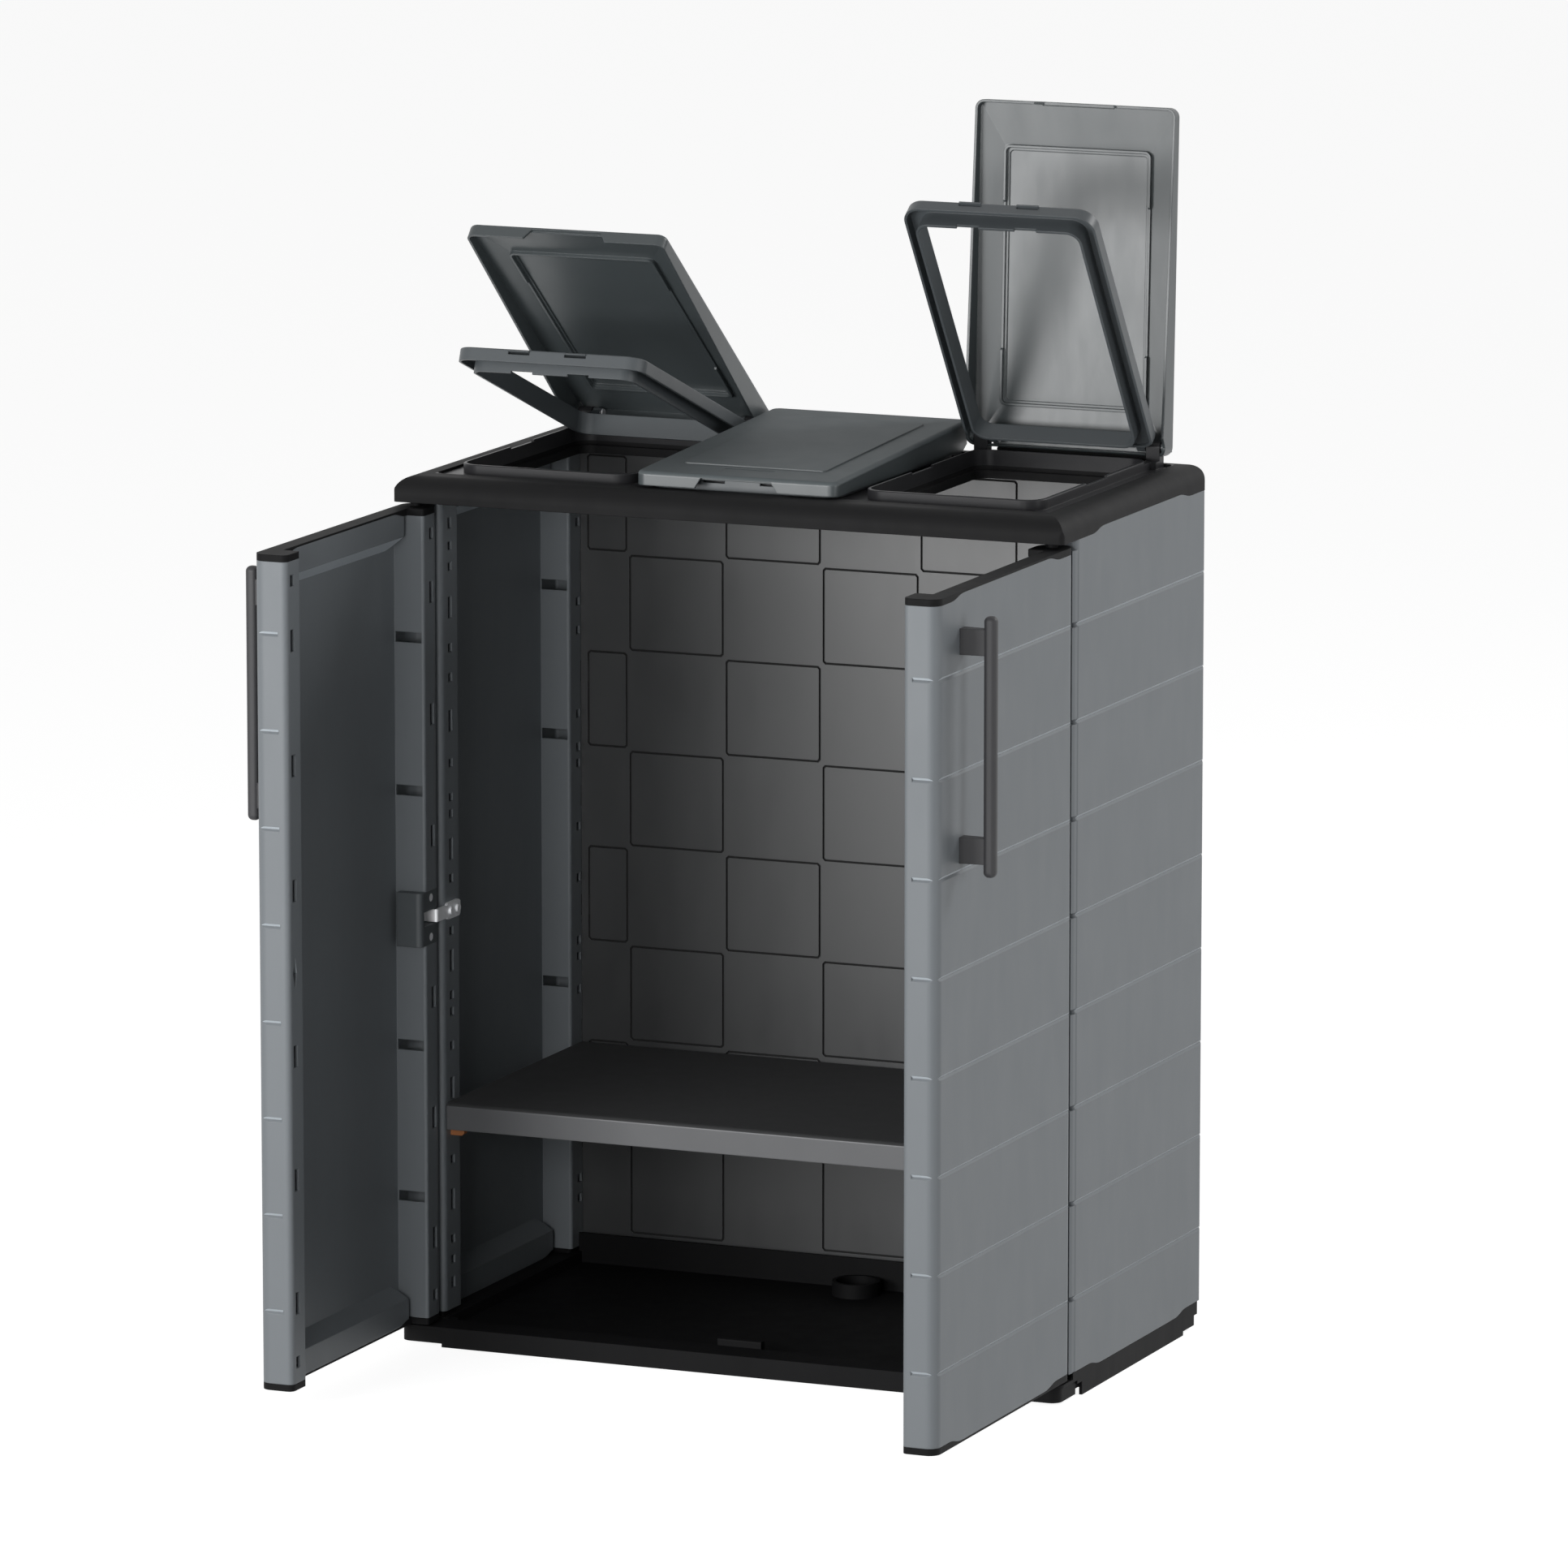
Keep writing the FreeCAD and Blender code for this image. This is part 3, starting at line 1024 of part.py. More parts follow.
def bag_frame():
    """Ring of upside-down U section that straddles the collar and grips the bag."""
    inner_out = -WALL - FRAME_INNER_GAP
    outer_low = FRAME_Z1 - FRAME_OUTER_SKIRT
    inner_low = FRAME_Z1 - FRAME_INNER_SKIRT
    outer = prism(collar_rect(FRAME_GROW, FRAME_R), outer_low, FRAME_Z1)
    top_edges = [e for e in outer.Edges if e.BoundBox.ZMin > FRAME_Z1 - TINY]
    outer = outer.makeFillet(FRAME_T / 2, top_edges)
    outer = outer.cut(prism(collar_rect(FRAME_OUTER_GAP, FRAME_R - FRAME_T), outer_low - 1, FRAME_Z0))
    inner_rect = collar_rect(inner_out, FRAME_INNER_R + FRAME_T)
    front_y = COLLAR_FRONT - FRAME_GROW
    tabs = [box(x - FRAME_SLOT_L / 2, x + FRAME_SLOT_L / 2, front_y - FRAME_TAB, front_y + 1, FRAME_Z0,
                FRAME_Z1 - FRAME_T / 2) for x in (-FRAME_SLOT_X, FRAME_SLOT_X)]
    body = joined([outer, prism(inner_rect, inner_low, FRAME_Z1), frame_ear(), mirrored(frame_ear())] + tabs)
    rear_y = COLLAR_REAR - COLLAR_R / 4
    wide = FRAME_HALF + 1
    rear_low = box(-wide, wide, rear_y, LID_AXIS_Y, outer_low - 1, FRAME_Z1 - FRAME_REAR_SKIRT)
    inside = prism(inner_rect, inner_low - 1, FRAME_Z1 + 1)
    way = prism(collar_rect(inner_out - FRAME_T, FRAME_INNER_R), inner_low - 1, FRAME_Z1 + 1)
    cuts = [way, rear_low.cut(inside)]
    slot_z = FRAME_Z0 - FRAME_SLOT_H
    inner_y = COLLAR_FRONT - inner_out
    for x in (-FRAME_SLOT_X, FRAME_SLOT_X):
        x0, x1 = x - FRAME_SLOT_L / 2, x + FRAME_SLOT_L / 2
        cuts.append(box(x0, x1, front_y - 1, front_y + FRAME_T + 1, slot_z, FRAME_Z0))
        cuts.append(box(x0, x1, inner_y - 1, inner_y + FRAME_T + 1, inner_low - 1, inner_low + FRAME_SLOT_H))
    return body.cut(cuts)


def lid_pins():
    """Headed pins of the middle bay, pushed through ears and knuckles from inside."""
    seat_x = EAR_IN - SCREW_FIT
    head_x = seat_x - LID_PIN_HEAD_T
    tip_x = LID_HALF - LID_T - EAR_GAP / 2
    head = rod_x(LID_PIN_HEAD_R, head_x, seat_x, LID_AXIS_Y, LID_AXIS_Z)
    pin = joined([head, rod_x(LID_PIN_R, head_x, tip_x, LID_AXIS_Y, LID_AXIS_Z)])
    return Part.makeCompound([pin, mirrored(pin)])


def write_pair(name, shape):
    """A left piece and its mirror image."""
    write("left_" + name, shape)
    write("right_" + name, mirrored(shape))


def main():
    os.makedirs("parts", exist_ok=True)
    write("base_tray", base_tray())
    write("back_panel", back_panel())
    write("shelf", shelf())
    write("shelf_pegs", shelf_pegs())
    write("top_cover", top_cover())
    write_pair("side_panel", mirrored(side_panel()))
    write_pair("door_panel", place_door(door_panel()))
    write_pair("door_top_cap", place_door(door_cap(DOOR_Z1, 1, DOOR_TOP_GAP)))
    write_pair("door_bottom_cap", place_door(door_cap(DOOR_Z0, -1, DOOR_LIFT)))
    write_pair("handle", place_door(handle()))
    write_pair("handle_screws", place_door(handle_screws()))
    write_pair("hinge_housing", place_door(hinge_housing()))
    write_pair("hinge_housing_screws", place_door(housing_screws()))
    write_pair("hinge_pin", place_door(hinge_pin()))
    write_pair("hinge_arm", hinge_arm())
    write_pair("hinge_arm_screws", arm_screws())
    one_lid = lid()
    one_frame = bag_frame()
    sides = ("left", "middle", "right")
    angles = ((LEFT_LID_OPEN, LEFT_FRAME_OPEN), (0.0, 0.0), (RIGHT_LID_OPEN, RIGHT_FRAME_OPEN))
    for name, x, (lid_open, frame_open) in zip(sides, bays(), angles):
        write(name + "_lid", swing(one_lid, lid_open, x))
        write(name + "_bag_frame", swing(one_frame, frame_open, x))
        write(name + "_lid_pins", lid_pins().translated(V(x, 0, 0)))


main()
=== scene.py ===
import math

import bmesh
import bpy
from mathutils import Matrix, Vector


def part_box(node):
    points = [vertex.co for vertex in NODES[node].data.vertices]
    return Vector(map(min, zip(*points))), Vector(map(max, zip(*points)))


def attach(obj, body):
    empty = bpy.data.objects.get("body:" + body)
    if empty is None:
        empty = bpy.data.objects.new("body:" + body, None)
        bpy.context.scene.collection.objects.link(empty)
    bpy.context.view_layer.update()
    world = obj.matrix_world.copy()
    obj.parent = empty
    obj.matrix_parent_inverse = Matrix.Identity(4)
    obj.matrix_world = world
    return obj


bl_info = {
    "name": "Recycling cabinet finishes",
    "version": (1, 0, 0),
    "blender": (4, 5, 0),
    "location": "View3D > Sidebar > Cabinet",
    "description": "Finishes and small fittings for a moulded recycling cabinet",
    "category": "Object",
}

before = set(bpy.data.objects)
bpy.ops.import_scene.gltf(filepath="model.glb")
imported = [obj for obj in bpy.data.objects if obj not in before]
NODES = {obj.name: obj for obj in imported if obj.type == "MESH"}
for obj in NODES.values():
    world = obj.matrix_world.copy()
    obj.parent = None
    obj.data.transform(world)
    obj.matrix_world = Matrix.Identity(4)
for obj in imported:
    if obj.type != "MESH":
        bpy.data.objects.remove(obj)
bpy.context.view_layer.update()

MM = 0.001
SIDES = ("left", "right")
BAYS = ("left", "middle", "right")
# How far each lid stands open, in degrees
LID_TURNS = {"left": 41.5, "middle": 0.0, "right": 95.0}
UP = (0, 0, 1)
DOWN = (0, 0, -1)
WHITE = (1, 1, 1, 1)

# Levels of the grooves that part the panels into boards
GROOVE_MIDDLE = 416 * MM
GROOVE_PITCH = 91.2 * MM
GROOVES = 8
# Outline of a side panel's rolled front edge, in mm: how far inside the panel's outer face, and
# how far behind its front face
ROLLED_EDGE = (
    (0.4, 6.5), (0.7, -2.0), (1.8, -7.5), (4.4, -5.0), (8.0, -2.2), (8.0, 2.0), (2.5, 5.0))
# What a rolled edge leaves free at the panel's foot and head
EDGE_FOOT = 4 * MM
EDGE_HEAD = 14 * MM

# The cover's rim above its lowest point, and the rail on it: how far in front of the cover's
# rear face, how deep in the rim, and the radius of its upper edges
COVER_RIM = 46 * MM
RAIL_INSET = 3.4 * MM
RAIL_SINK = 2 * MM
RAIL_ROUND = 1.5 * MM
# Margins from the cover's box to its deck, the deck's depth below the top, and a little air above
DECK_SIDE = 28 * MM
DECK_FRONT = 36 * MM
DECK_REAR = 13 * MM
DECK_DEPTH = 30 * MM
DECK_AIR = 1 * MM
# The back panel's grooves lie between these depths behind its front face
BACK_GROOVE_TOP = 0.3 * MM
BACK_GROOVE_FLOOR = 2.5 * MM
# Mould edges of the back panel are crisper than the others
BACK_EDGE = 0.4 * MM

# Sockets of a mix node that mixes colours
MIX_FIRST, MIX_SECOND, MIX_RESULT = 6, 7, 2
# Most values of a noise lie between these
NOISE_LOW, NOISE_HIGH = 0.3, 0.7
# A face counts towards a direction from the first cosine, and fully from the second
FACING_FROM, FACING_FULL = 0.15, 0.32
RESIN_IOR = 1.49
# Rub marks run upwards, and shift the roughness down and up by this much
RUB_STRETCH = (1.0, 1.0, 0.3)
RUB_GLOSS, RUB_DULL = 0.025, 0.03
# Rolling lines in the steel: width, stretch, darker tone, and shift of the roughness
STEEL_LINE = 0.5 * MM
STEEL_STRETCH = (1.0, 0.12, 1.0)
STEEL_SHADE = 0.82
STEEL_GLOSS, STEEL_DULL = 0.06, 0.08

# Floor and room: half the floor's width, the paper's tone, how bright the paper and the room
# look, and how much light the room gives
FLOOR_HALF = 30.0
PAPER_TONE = 0.42
PAPER_LIFT = 0.9
ROOM_SEEN = 1.0
ROOM_LIGHT = 0.1
# Soft boxes: name, place, the point they face, width, height and power in watts
LAMPS = (
    ("front left lamp", (-1.4, -3.6, 1.0), (0.1, 0, 0.55), 1.5, 1.2, 80),
    ("front lamp", (0.5, -4.6, 1.2), (0, 0, 0.5), 1.4, 1.2, 55),
    ("right lamp", (4.6, -0.9, 1.0), (0.3, 0, 0.5), 2.0, 1.6, 36),
    ("high right lamp", (2.6, 2.2, 2.7), (0.3, 0, 0.6), 1.2, 1.2, 50),
)
# Camera that took the picture: place in metres, turns in degrees, lens and sensor in mm
CAMERA_AT = (4.00267, -9.47054, 2.39779)
CAMERA_YAW = 23.0
CAMERA_PITCH = 10.261
CAMERA_LENS = 252.24
CAMERA_SENSOR = 36.0
CAMERA_REACH = 100


def linear(hex_code):
    """Linear colour of an sRGB hex code."""
    values = [int(hex_code[i:i + 2], 16) / 255 for i in (1, 3, 5)]
    return [v / 12.92 if v <= 0.04045 else ((v + 0.055) / 1.055) ** 2.4 for v in values]


class CabinetColours(bpy.types.PropertyGroup):
    """Colours of the mouldings and fittings."""

    panel: bpy.props.FloatVectorProperty(
        name="Panels", description="Doors and side panels", subtype="COLOR",
        default=linear("#72777b"))
    black: bpy.props.FloatVectorProperty(
        name="Black mouldings", description="Base, cover and door caps", subtype="COLOR",
        default=linear("#101011"))
    handle: bpy.props.FloatVectorProperty(
        name="Handles", description="Bar handles on the doors", subtype="COLOR",
        default=linear("#38383a"))
    shelf: bpy.props.FloatVectorProperty(
        name="Shelf", description="Shelf between the compartments", subtype="COLOR",
        default=linear("#606163"))
    block: bpy.props.FloatVectorProperty(
        name="Hinge blocks", description="Blocks that hold the hinge arms", subtype="COLOR",
        default=linear("#4c5154"))
    dark: bpy.props.FloatVectorProperty(
        name="Back", description="Back panel", subtype="COLOR",
        default=linear("#393a3b"))
    lid: bpy.props.FloatVectorProperty(
        name="Lids", description="Flap lids over the chutes", subtype="COLOR",
        default=linear("#494f51"))
    ring: bpy.props.FloatVectorProperty(
        name="Bag frames", description="Tilting frames that hold the bags", subtype="COLOR",
        default=linear("#4e5356"))
    peg: bpy.props.FloatVectorProperty(
        name="Shelf pegs", description="Pegs under the shelf", subtype="COLOR",
        default=linear("#a5683c"))
    steel: bpy.props.FloatVectorProperty(
        name="Plated steel", description="Hinge arms, pins and screws", subtype="COLOR",
        default=linear("#eeeff1"))


class CabinetSizes(bpy.types.PropertyGroup):
    """Sizes of the surface detail and of the small fittings."""

    grain: bpy.props.FloatProperty(
        name="Moulded grain", description="Width of one bump of the panels' grain",
        default=1.4 * MM, unit="LENGTH")
    cloud: bpy.props.FloatProperty(
        name="Colour clouds", description="Width of the faint clouds in the resin's colour",
        default=70 * MM, unit="LENGTH")
    edge: bpy.props.FloatProperty(
        name="Mould edges", description="Radius that softens the edges of the mouldings",
        default=1.2 * MM, unit="LENGTH")
    scuff: bpy.props.FloatProperty(
        name="Rub marks", description="Length of the faint rub marks on satin faces",
        default=24 * MM, unit="LENGTH")
    notch: bpy.props.FloatProperty(
        name="Edge notches", description="Height of the grooves where they cross the rolled edges",
        default=5 * MM, unit="LENGTH")
    rail_length: bpy.props.FloatProperty(
        name="Rail length", description="Length of the cover's raised rear edge in one bay",
        default=156 * MM, unit="LENGTH")
    rail_thickness: bpy.props.FloatProperty(
        name="Rail thickness", description="Thickness of the cover's raised rear edge",
        default=5.2 * MM, unit="LENGTH")
    rail_rise: bpy.props.FloatProperty(
        name="Rail rise", description="How far the raised rear edge stands above the rim",
        default=6.2 * MM, unit="LENGTH")


def looks():
    """Colours and sizes as the user has set them."""
    return bpy.context.scene.cabinet_colours, bpy.context.scene.cabinet_sizes


def feed(tree, node, inputs):
    """Sets a node's inputs, each to a value or by a link from a socket."""
    for name, value in inputs.items():
        if isinstance(value, bpy.types.NodeSocket):
            tree.links.new(value, node.inputs[name])
        else:
            node.inputs[name].default_value = value


def add(tree, kind, inputs=None, **settings):
    """Adds one node: settings go on the node, inputs are values or sockets to link."""
    made = tree.nodes.new(kind)
    for name, value in settings.items():
        setattr(made, name, value)
    feed(tree, made, inputs or {})
    return made


def maths(tree, operation, first, second):
    """Joins two numbers, each a value or a socket."""
    return add(tree, "ShaderNodeMath", {0: first, 1: second}, operation=operation).outputs[0]


def mix(tree, factor, first, second, blend="MIX"):
    """Mixes two colours, each a value or a socket."""
    inputs = {"Factor": factor, MIX_FIRST: first, MIX_SECOND: second}
    made = add(tree, "ShaderNodeMix", inputs, data_type="RGBA", blend_type=blend)
    return made.outputs[MIX_RESULT]


def noise_between(tree, noise, low, high):
    """Spreads a noise between two levels."""
    return add(tree, "ShaderNodeMapRange", {
        "Value": noise.outputs["Fac"], "From Min": NOISE_LOW, "From Max": NOISE_HIGH,
        "To Min": low, "To Max": high}).outputs["Result"]


def facing(direction):
    """Mask of the faces that look along a direction."""
    def mask(tree):
        normal = add(tree, "ShaderNodeTexCoord").outputs["Normal"]
        along = add(
            tree, "ShaderNodeVectorMath", {0: normal, 1: direction}, operation="DOT_PRODUCT")
        return add(tree, "ShaderNodeMapRange", {
            "Value": along.outputs["Value"], "From Min": FACING_FROM,
            "From Max": FACING_FULL}).outputs["Result"]
    return mask


def within(low, high):
    """Mask of what lies inside a box."""
    middle = [(a + b) / 2 for a, b in zip(low, high)]
    half = [(b - a) / 2 for a, b in zip(low, high)]

    def mask(tree):
        place = add(tree, "ShaderNodeTexCoord").outputs["Object"]
        away = add(tree, "ShaderNodeVectorMath", {0: place, 1: middle}, operation="SUBTRACT")
        share = add(
            tree, "ShaderNodeVectorMath", {0: away.outputs[0], 1: half}, operation="DIVIDE")
        size = add(tree, "ShaderNodeVectorMath", {0: share.outputs[0]}, operation="ABSOLUTE")
        axes = add(tree, "ShaderNodeSeparateXYZ", {0: size.outputs[0]}).outputs
        most = maths(tree, "MAXIMUM", maths(tree, "MAXIMUM", axes[0], axes[1]), axes[2])
        return maths(tree, "LESS_THAN", most, 1.0)
    return mask


def seen_mask(tree):
    """One for camera, glossy and transmission rays, which see the white background."""
    path = add(tree, "ShaderNodeLightPath").outputs
    first = maths(tree, "MAXIMUM", path["Is Camera Ray"], path["Is Glossy Ray"])
    return maths(tree, "MAXIMUM", first, path["Is Transmission Ray"])


def new_material(name):
    """New material with its node tree and shader."""
    made = bpy.data.materials.new(name)
    made.use_nodes = True
    return made, made.node_tree, made.node_tree.nodes["Principled BSDF"]


def moulded_resin(name, colour, satin, grain_depth, spread, gloss=0.5, coarse=1, busy=1,
                  second=None, edge=None):
    """Injection-moulded polypropylene: a faintly clouded colour, a satin sheen that rubbing
    changes in patches, and the fine grain of an etched mould that breaks up highlights. The grain
    is coarse times as wide as usual, and the clouds are busy times as many. Second gives a mask's
    maker, and the satin and the tone of the faces inside that mask; the tone multiplies their
    colour, and the panels, the cover's deck, the back panel and the shelf use it to paint light or
    shade."""
    sizes = looks()[1]
    grain = coarse * sizes.grain
    cloud = sizes.cloud / busy
    made, tree, shader = new_material(name)
    place = add(tree, "ShaderNodeTexCoord").outputs["Object"]
    clouds = add(tree, "ShaderNodeTexNoise", {
        "Vector": place, "Scale": 1 / cloud, "Detail": 3.0, "Roughness": 0.55})
    low = [c * (1 - spread) for c in colour]
    high = [c * (1 + spread) for c in colour]
    tint = mix(tree, clouds.outputs["Fac"], (*low, 1), (*high, 1))
    stretch = add(tree, "ShaderNodeMapping", {"Vector": place, "Scale": RUB_STRETCH})
    rubs = add(tree, "ShaderNodeTexNoise", {
        "Vector": stretch.outputs["Vector"], "Scale": 1 / sizes.scuff, "Detail": 5.0,
        "Roughness": 0.6})
    roughness = noise_between(tree, rubs, satin - RUB_GLOSS, satin + RUB_DULL)
    # Inside the mask the roughness moves to the second satin and the tone multiplies the colour:
    # painted light or shade for most callers
    if second:
        inside = second["mask"](tree)
        change = maths(tree, "MULTIPLY", inside, second["satin"] - satin)
        roughness = maths(tree, "ADD", roughness, change)
        tone = second["tone"]
        tint = mix(tree, inside, tint, (tone, tone, tone, 1), "MULTIPLY")
    bumps = add(tree, "ShaderNodeTexNoise", {
        "Vector": place, "Scale": 1 / grain, "Detail": 2.0, "Roughness": 0.5})
    # Mould edges are never sharp: a small radius catches the light along them
    radius = sizes.edge if edge is None else edge
    soft_edge = add(tree, "ShaderNodeBevel", {"Radius": radius}, samples=4)
    relief = add(tree, "ShaderNodeBump", {
        "Height": bumps.outputs["Fac"], "Normal": soft_edge.outputs["Normal"],
        "Strength": 1.0, "Distance": grain_depth})
    feed(tree, shader, {
        "Base Color": tint, "Roughness": roughness, "Normal": relief.outputs["Normal"],
        "IOR": RESIN_IOR, "Specular IOR Level": gloss})
    return made


def plated_steel(name, colour, polish):
    """Zinc-plated pressed steel: bright metal with fine rolling lines and slightly dull
    patches, so that small faces flash and fade."""
    made, tree, shader = new_material(name)
    place = add(tree, "ShaderNodeTexCoord").outputs["Object"]
    stretch = add(tree, "ShaderNodeMapping", {"Vector": place, "Scale": STEEL_STRETCH})
    lines = add(tree, "ShaderNodeTexNoise", {
        "Vector": stretch.outputs["Vector"], "Scale": 1 / STEEL_LINE, "Detail": 3.0})
    shade = [c * STEEL_SHADE for c in colour]
    feed(tree, shader, {
        "Base Color": mix(tree, lines.outputs["Fac"], (*shade, 1), (*colour, 1)),
        "Roughness": noise_between(tree, lines, polish - STEEL_GLOSS, polish + STEEL_DULL),
        "Metallic": 1.0})
    return made


def dress(names, material):
    """Gives CAD nodes their finish."""
    for name in names:
        mesh = NODES[name].data
        mesh.materials.clear()
        mesh.materials.append(material)


def place_mesh(name, bm, material):
    """Makes an object from a bmesh and puts it in the scene."""
    mesh = bpy.data.meshes.new(name)
    bm.to_mesh(mesh)
    bm.free()
    mesh.materials.append(material)
    made = bpy.data.objects.new(name, mesh)
    bpy.context.scene.collection.objects.link(made)
    return made


class CABINET_OT_panels(bpy.types.Operator):
    """Finish the doors and side panels in grey moulded resin"""

    bl_idname = "cabinet.panels"
    bl_label = "Panels"

    def execute(self, context):
        colours = looks()[0]
        # Grey polypropylene from an etched mould: even satin grey with a fine grain. Faces that
        # look down are a little glossier and painted three times paler, a painted highlight for
        # the light that the floor bounces onto the upper walls of the grooves
        grey = moulded_resin(
            "moulded grey polypropylene", colours.panel, satin=0.5, grain_depth=0.05 * MM,
            spread=0.035, second=dict(mask=facing(DOWN), satin=0.42, tone=3.0))
        dress([s + "_" + n for s in SIDES for n in ("side_panel", "door_panel")], grey)
        return {"FINISHED"}


class CABINET_OT_rolled_edges(bpy.types.Operator):
    """Roll each side panel's front edge towards its door, board by board"""

    bl_idname = "cabinet.rolled_edges"
    bl_label = "Rolled edges"

    def execute(self, context):
        sizes = looks()[1]
        grey = bpy.data.materials["moulded grey polypropylene"]
        first = GROOVE_MIDDLE - GROOVE_PITCH * (GROOVES - 1) / 2
        levels = [first + i * GROOVE_PITCH for i in range(GROOVES)]
        for side, hand in zip(SIDES, (-1, 1)):
            low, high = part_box(side + "_side_panel")
            outer = max(-low[0], high[0])
            starts = [low[2] + EDGE_FOOT] + [z + sizes.notch / 2 for z in levels]
            ends = [z - sizes.notch / 2 for z in levels] + [high[2] - EDGE_HEAD]
            bm = bmesh.new()
            for start, end in zip(starts, ends):
                corners = [
                    bm.verts.new((hand * (outer - inside * MM), low[1] + behind * MM, start))
                    for inside, behind in ROLLED_EDGE]
                swept = bmesh.ops.extrude_face_region(bm, geom=[bm.faces.new(corners)])
                upper = [v for v in swept["geom"] if isinstance(v, bmesh.types.BMVert)]
                bmesh.ops.translate(bm, vec=(0, 0, end - start), verts=upper)
            bmesh.ops.recalc_face_normals(bm, faces=bm.faces)
            edge = place_mesh(side + "_rolled_edge", bm, grey)
            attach(edge, "cabinet")
        return {"FINISHED"}


class CABINET_OT_black_mouldings(bpy.types.Operator):
    """Finish the base, cover, door caps and handles in black moulded resin"""

    bl_idname = "cabinet.black_mouldings"
    bl_label = "Black mouldings"

    def execute(self, context):
        colours = looks()[0]
        # Black polypropylene: deep and nearly matt, with a soft highlight on round edges only
        black = moulded_resin(
            "moulded black polypropylene", colours.black, satin=0.64, grain_depth=0.035 * MM,
            spread=0.1, gloss=0.12)
        names = ["base_tray"]
        names += [s + "_" + n for s in SIDES for n in ("door_top_cap", "door_bottom_cap")]
        dress(names, black)
        # The cover's deck and collars are smoother than the rest of it, and painted five times
        # paler: a painted reflection of the bright front
        low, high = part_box("top_cover")
        deck = within(
            (low[0] + DECK_SIDE, low[1] + DECK_FRONT, high[2] - DECK_DEPTH),
            (high[0] - DECK_SIDE, high[1] - DECK_REAR, high[2] + DECK_AIR))
        polished = moulded_resin(
            "black polypropylene with a polished deck", colours.black, satin=0.64,
            grain_depth=0.035 * MM, spread=0.1, gloss=0.16,
            second=dict(mask=deck, satin=0.34, tone=5.0))
        dress(["top_cover"], polished)
        # Nylon handles: charcoal grey with a dull sheen
        charcoal = moulded_resin(
            "moulded charcoal nylon", colours.handle, satin=0.5, grain_depth=0.02 * MM,
            spread=0.08, gloss=0.35, busy=3)
        dress([s + "_handle" for s in SIDES], charcoal)
        return {"FINISHED"}


class CABINET_OT_rear_rails(bpy.types.Operator):
    """Raise the cover's rear edge behind each lid, between its knuckles"""

    bl_idname = "cabinet.rear_rails"
    bl_label = "Raised rear edge"

    def execute(self, context):
        sizes = looks()[1]
        black = bpy.data.materials["moulded black polypropylene"]
        low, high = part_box("top_cover")
        rim = low[2] + COVER_RIM
        # The rail's foot sinks into the rim, so that no gap shows under it
        foot = rim - RAIL_SINK
        top = rim + sizes.rail_rise
        along = high[1] - RAIL_INSET - sizes.rail_thickness / 2
        for bay in BAYS:
            start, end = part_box(bay + "_lid")
            middle = Vector(((start[0] + end[0]) / 2, along, (foot + top) / 2))
            bm = bmesh.new()
            bmesh.ops.create_cube(bm, size=1.0)
            bmesh.ops.scale(
                bm, vec=(sizes.rail_length, sizes.rail_thickness, top - foot), verts=bm.verts)
            bmesh.ops.translate(bm, vec=middle, verts=bm.verts)
            upper = [e for e in bm.edges if all(v.co.z > middle.z for v in e.verts)]
            bmesh.ops.bevel(
                bm, geom=upper, offset=RAIL_ROUND, affect="EDGES", segments=3, profile=0.5,
                material=-1)
            rail = place_mesh(bay + "_rear_rail", bm, black)
            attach(rail, "cabinet")
        return {"FINISHED"}


class CABINET_OT_inside(bpy.types.Operator):
    """Finish the back panel, shelf and shelf pegs"""

    bl_idname = "cabinet.inside"
    bl_label = "Back, shelf and pegs"

    def execute(self, context):
        colours = looks()[0]
        # Dark smooth-moulded sheet: satin enough to mirror the light from the open front. The
        # floors of the grooves round its squares are matt and painted nearly black: painted shade
        # for the shadow in the narrow grooves
        low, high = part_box("back_panel")
        grooves = within(
            (low[0], low[1] + BACK_GROOVE_TOP, low[2]),
            (high[0], low[1] + BACK_GROOVE_FLOOR, high[2]))
        dark = moulded_resin(
            "smooth-moulded dark polypropylene", colours.dark, satin=0.36,
            grain_depth=0.015 * MM, spread=0.06, gloss=0.75, coarse=2,
            second=dict(mask=grooves, satin=0.9, tone=0.08), edge=BACK_EDGE)
        dress(["back_panel"], dark)
        # The shelf's top is duller than its smooth lips, and painted darker: painted shade, as
        # little light falls on the top
        shelf_with_painted_shade = moulded_resin(
            "dark polypropylene with an etched top in painted shade", colours.shelf, satin=0.34,
            grain_depth=0.02 * MM, spread=0.06, second=dict(mask=facing(UP), satin=0.8, tone=0.22))
        dress(["shelf"], shelf_with_painted_shade)
        # Orange-brown pegs with a dull face
        brown = moulded_resin(
            "moulded brown polypropylene", colours.peg, satin=0.5, grain_depth=0.02 * MM,
            spread=0.1, busy=4)
        dress(["shelf_pegs"], brown)
        return {"FINISHED"}


class CABINET_OT_lids(bpy.types.Operator):
    """Finish the lids and bag frames"""

    bl_idname = "cabinet.lids"
    bl_label = "Lids and bag frames"

    def execute(self, context):
        colours = looks()[0]
        # Grey-green polypropylene: smooth and softly mirroring inside, dull and paler on top
        for bay in BAYS:
            turn = math.radians(LID_TURNS[bay])
            top = facing((0, math.sin(turn), math.cos(turn)))
            two_faced = moulded_resin(
                bay + " lid polypropylene, etched top", colours.lid, satin=0.32,
                grain_depth=0.02 * MM, spread=0.05, second=dict(mask=top, satin=0.7, tone=1.3))
            dress([bay + "_lid"], two_faced)
        # The bag frames are a little duller than the lids
        dull = moulded_resin(
            "dull grey-green polypropylene", colours.ring, satin=0.4, grain_depth=0.012 * MM,
            spread=0.04, coarse=2)
        dress([b + "_bag_frame" for b in BAYS], dull)
        return {"FINISHED"}


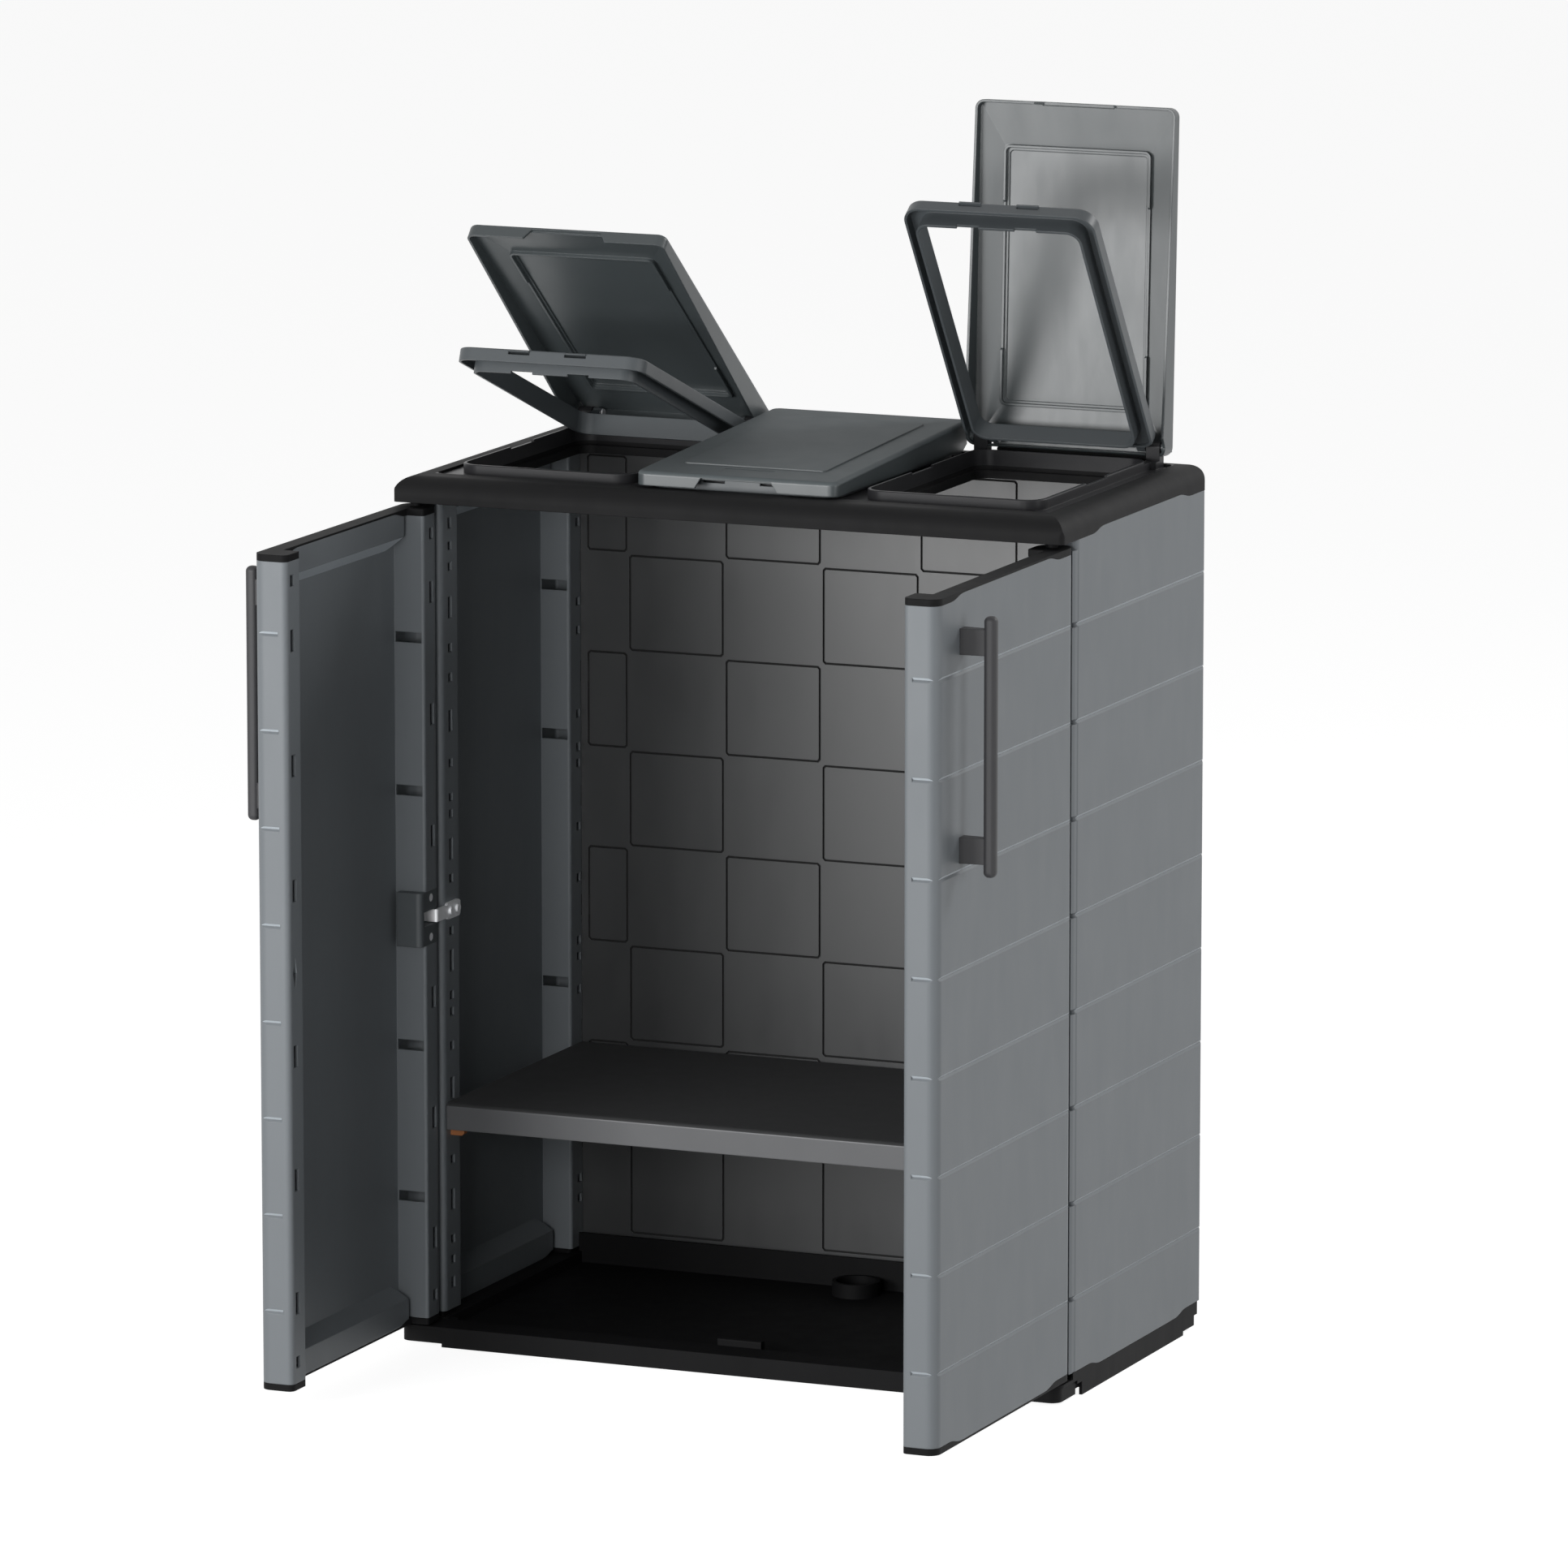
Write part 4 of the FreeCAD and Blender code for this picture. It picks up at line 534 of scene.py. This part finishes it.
class CABINET_OT_hinges(bpy.types.Operator):
    """Finish the hinge blocks, arms, pins and screws"""

    bl_idname = "cabinet.hinges"
    bl_label = "Hinges and pins"

    def execute(self, context):
        colours = looks()[0]
        # Dark grey block moulding with a dull fine face
        block = moulded_resin(
            "dull grey polypropylene block", colours.block, satin=0.5, grain_depth=0.02 * MM,
            spread=0.06, busy=3)
        dress([s + "_hinge_housing" for s in SIDES], block)
        # Bright zinc plating on pressed steel
        bright = plated_steel("bright zinc-plated steel", colours.steel, polish=0.62)
        fittings = (
            "handle_screws", "hinge_housing_screws", "hinge_pin", "hinge_arm", "hinge_arm_screws")
        dress([s + "_" + n for s in SIDES for n in fittings], bright)
        dress([b + "_lid_pins" for b in BAYS], bright)
        return {"FINISHED"}


def soft_box(name, at, towards, width, height, power):
    """Soft box that faces a point."""
    lamp = bpy.data.lights.new(name, "AREA")
    lamp.shape = "RECTANGLE"
    lamp.size = width
    lamp.size_y = height
    lamp.energy = power
    made = bpy.data.objects.new(name, lamp)
    made.location = at
    made.rotation_euler = (Vector(towards) - Vector(at)).to_track_quat("-Z", "Y").to_euler()
    bpy.context.scene.collection.objects.link(made)


def paper_sweep():
    """White paper: matt, and lifted to white where it is seen."""
    made, tree, shader = new_material("white paper sweep")
    feed(tree, shader, {
        "Base Color": (PAPER_TONE, PAPER_TONE, PAPER_TONE, 1), "Roughness": 0.9,
        "Specular IOR Level": 0.0, "Emission Color": WHITE,
        "Emission Strength": maths(tree, "MULTIPLY", seen_mask(tree), PAPER_LIFT)})
    return made


def white_room():
    """World that looks white and gives a little light from all sides."""
    made = bpy.data.worlds.new("white room")
    made.use_nodes = True
    tree = made.node_tree
    level = add(tree, "ShaderNodeMapRange", {
        "Value": seen_mask(tree), "To Min": ROOM_LIGHT, "To Max": ROOM_SEEN})
    feed(tree, tree.nodes["Background"], {"Color": WHITE, "Strength": level.outputs["Result"]})
    return made


class CABINET_OT_stage(bpy.types.Operator):
    """Make the pale floor, the soft light and the camera"""

    bl_idname = "cabinet.stage"
    bl_label = "Stage, light and camera"

    def execute(self, context):
        scene = context.scene
        scene.view_settings.view_transform = "Standard"
        bm = bmesh.new()
        bmesh.ops.create_grid(bm, x_segments=1, y_segments=1, size=FLOOR_HALF)
        floor = place_mesh("floor", bm, paper_sweep())
        scene.world = white_room()
        for lamp in LAMPS:
            soft_box(*lamp)
        camera = bpy.data.cameras.new("camera")
        camera.sensor_width = CAMERA_SENSOR
        camera.lens = CAMERA_LENS
        camera.clip_end = CAMERA_REACH
        made = bpy.data.objects.new("camera", camera)
        made.location = CAMERA_AT
        made.rotation_euler = (
            math.radians(90 - CAMERA_PITCH), 0, math.radians(CAMERA_YAW))
        scene.collection.objects.link(made)
        scene.camera = made
        return {"FINISHED"}


class CABINET_PT_sidebar(bpy.types.Panel):
    """Lists the steps that dress the cabinet"""

    bl_label = "Recycling cabinet"
    bl_idname = "CABINET_PT_sidebar"
    bl_space_type = "VIEW_3D"
    bl_region_type = "UI"
    bl_category = "Cabinet"

    def draw(self, context):
        for step in STEPS:
            self.layout.operator(step.bl_idname)
        for group in (context.scene.cabinet_colours, context.scene.cabinet_sizes):
            for name in group.__annotations__:
                self.layout.prop(group, name)


STEPS = (
    CABINET_OT_panels, CABINET_OT_rolled_edges, CABINET_OT_black_mouldings, CABINET_OT_rear_rails,
    CABINET_OT_inside, CABINET_OT_lids, CABINET_OT_hinges, CABINET_OT_stage,
)
CLASSES = (CabinetColours, CabinetSizes, *STEPS, CABINET_PT_sidebar)


def register():
    for made in CLASSES:
        bpy.utils.register_class(made)
    bpy.types.Scene.cabinet_colours = bpy.props.PointerProperty(type=CabinetColours)
    bpy.types.Scene.cabinet_sizes = bpy.props.PointerProperty(type=CabinetSizes)


def unregister():
    del bpy.types.Scene.cabinet_sizes
    del bpy.types.Scene.cabinet_colours
    for made in reversed(CLASSES):
        bpy.utils.unregister_class(made)


def main():
    register()
    bpy.ops.cabinet.panels()
    bpy.ops.cabinet.rolled_edges()
    bpy.ops.cabinet.black_mouldings()
    bpy.ops.cabinet.rear_rails()
    bpy.ops.cabinet.inside()
    bpy.ops.cabinet.lids()
    bpy.ops.cabinet.hinges()
    bpy.ops.cabinet.stage()


if __name__ == "__main__":
    main()
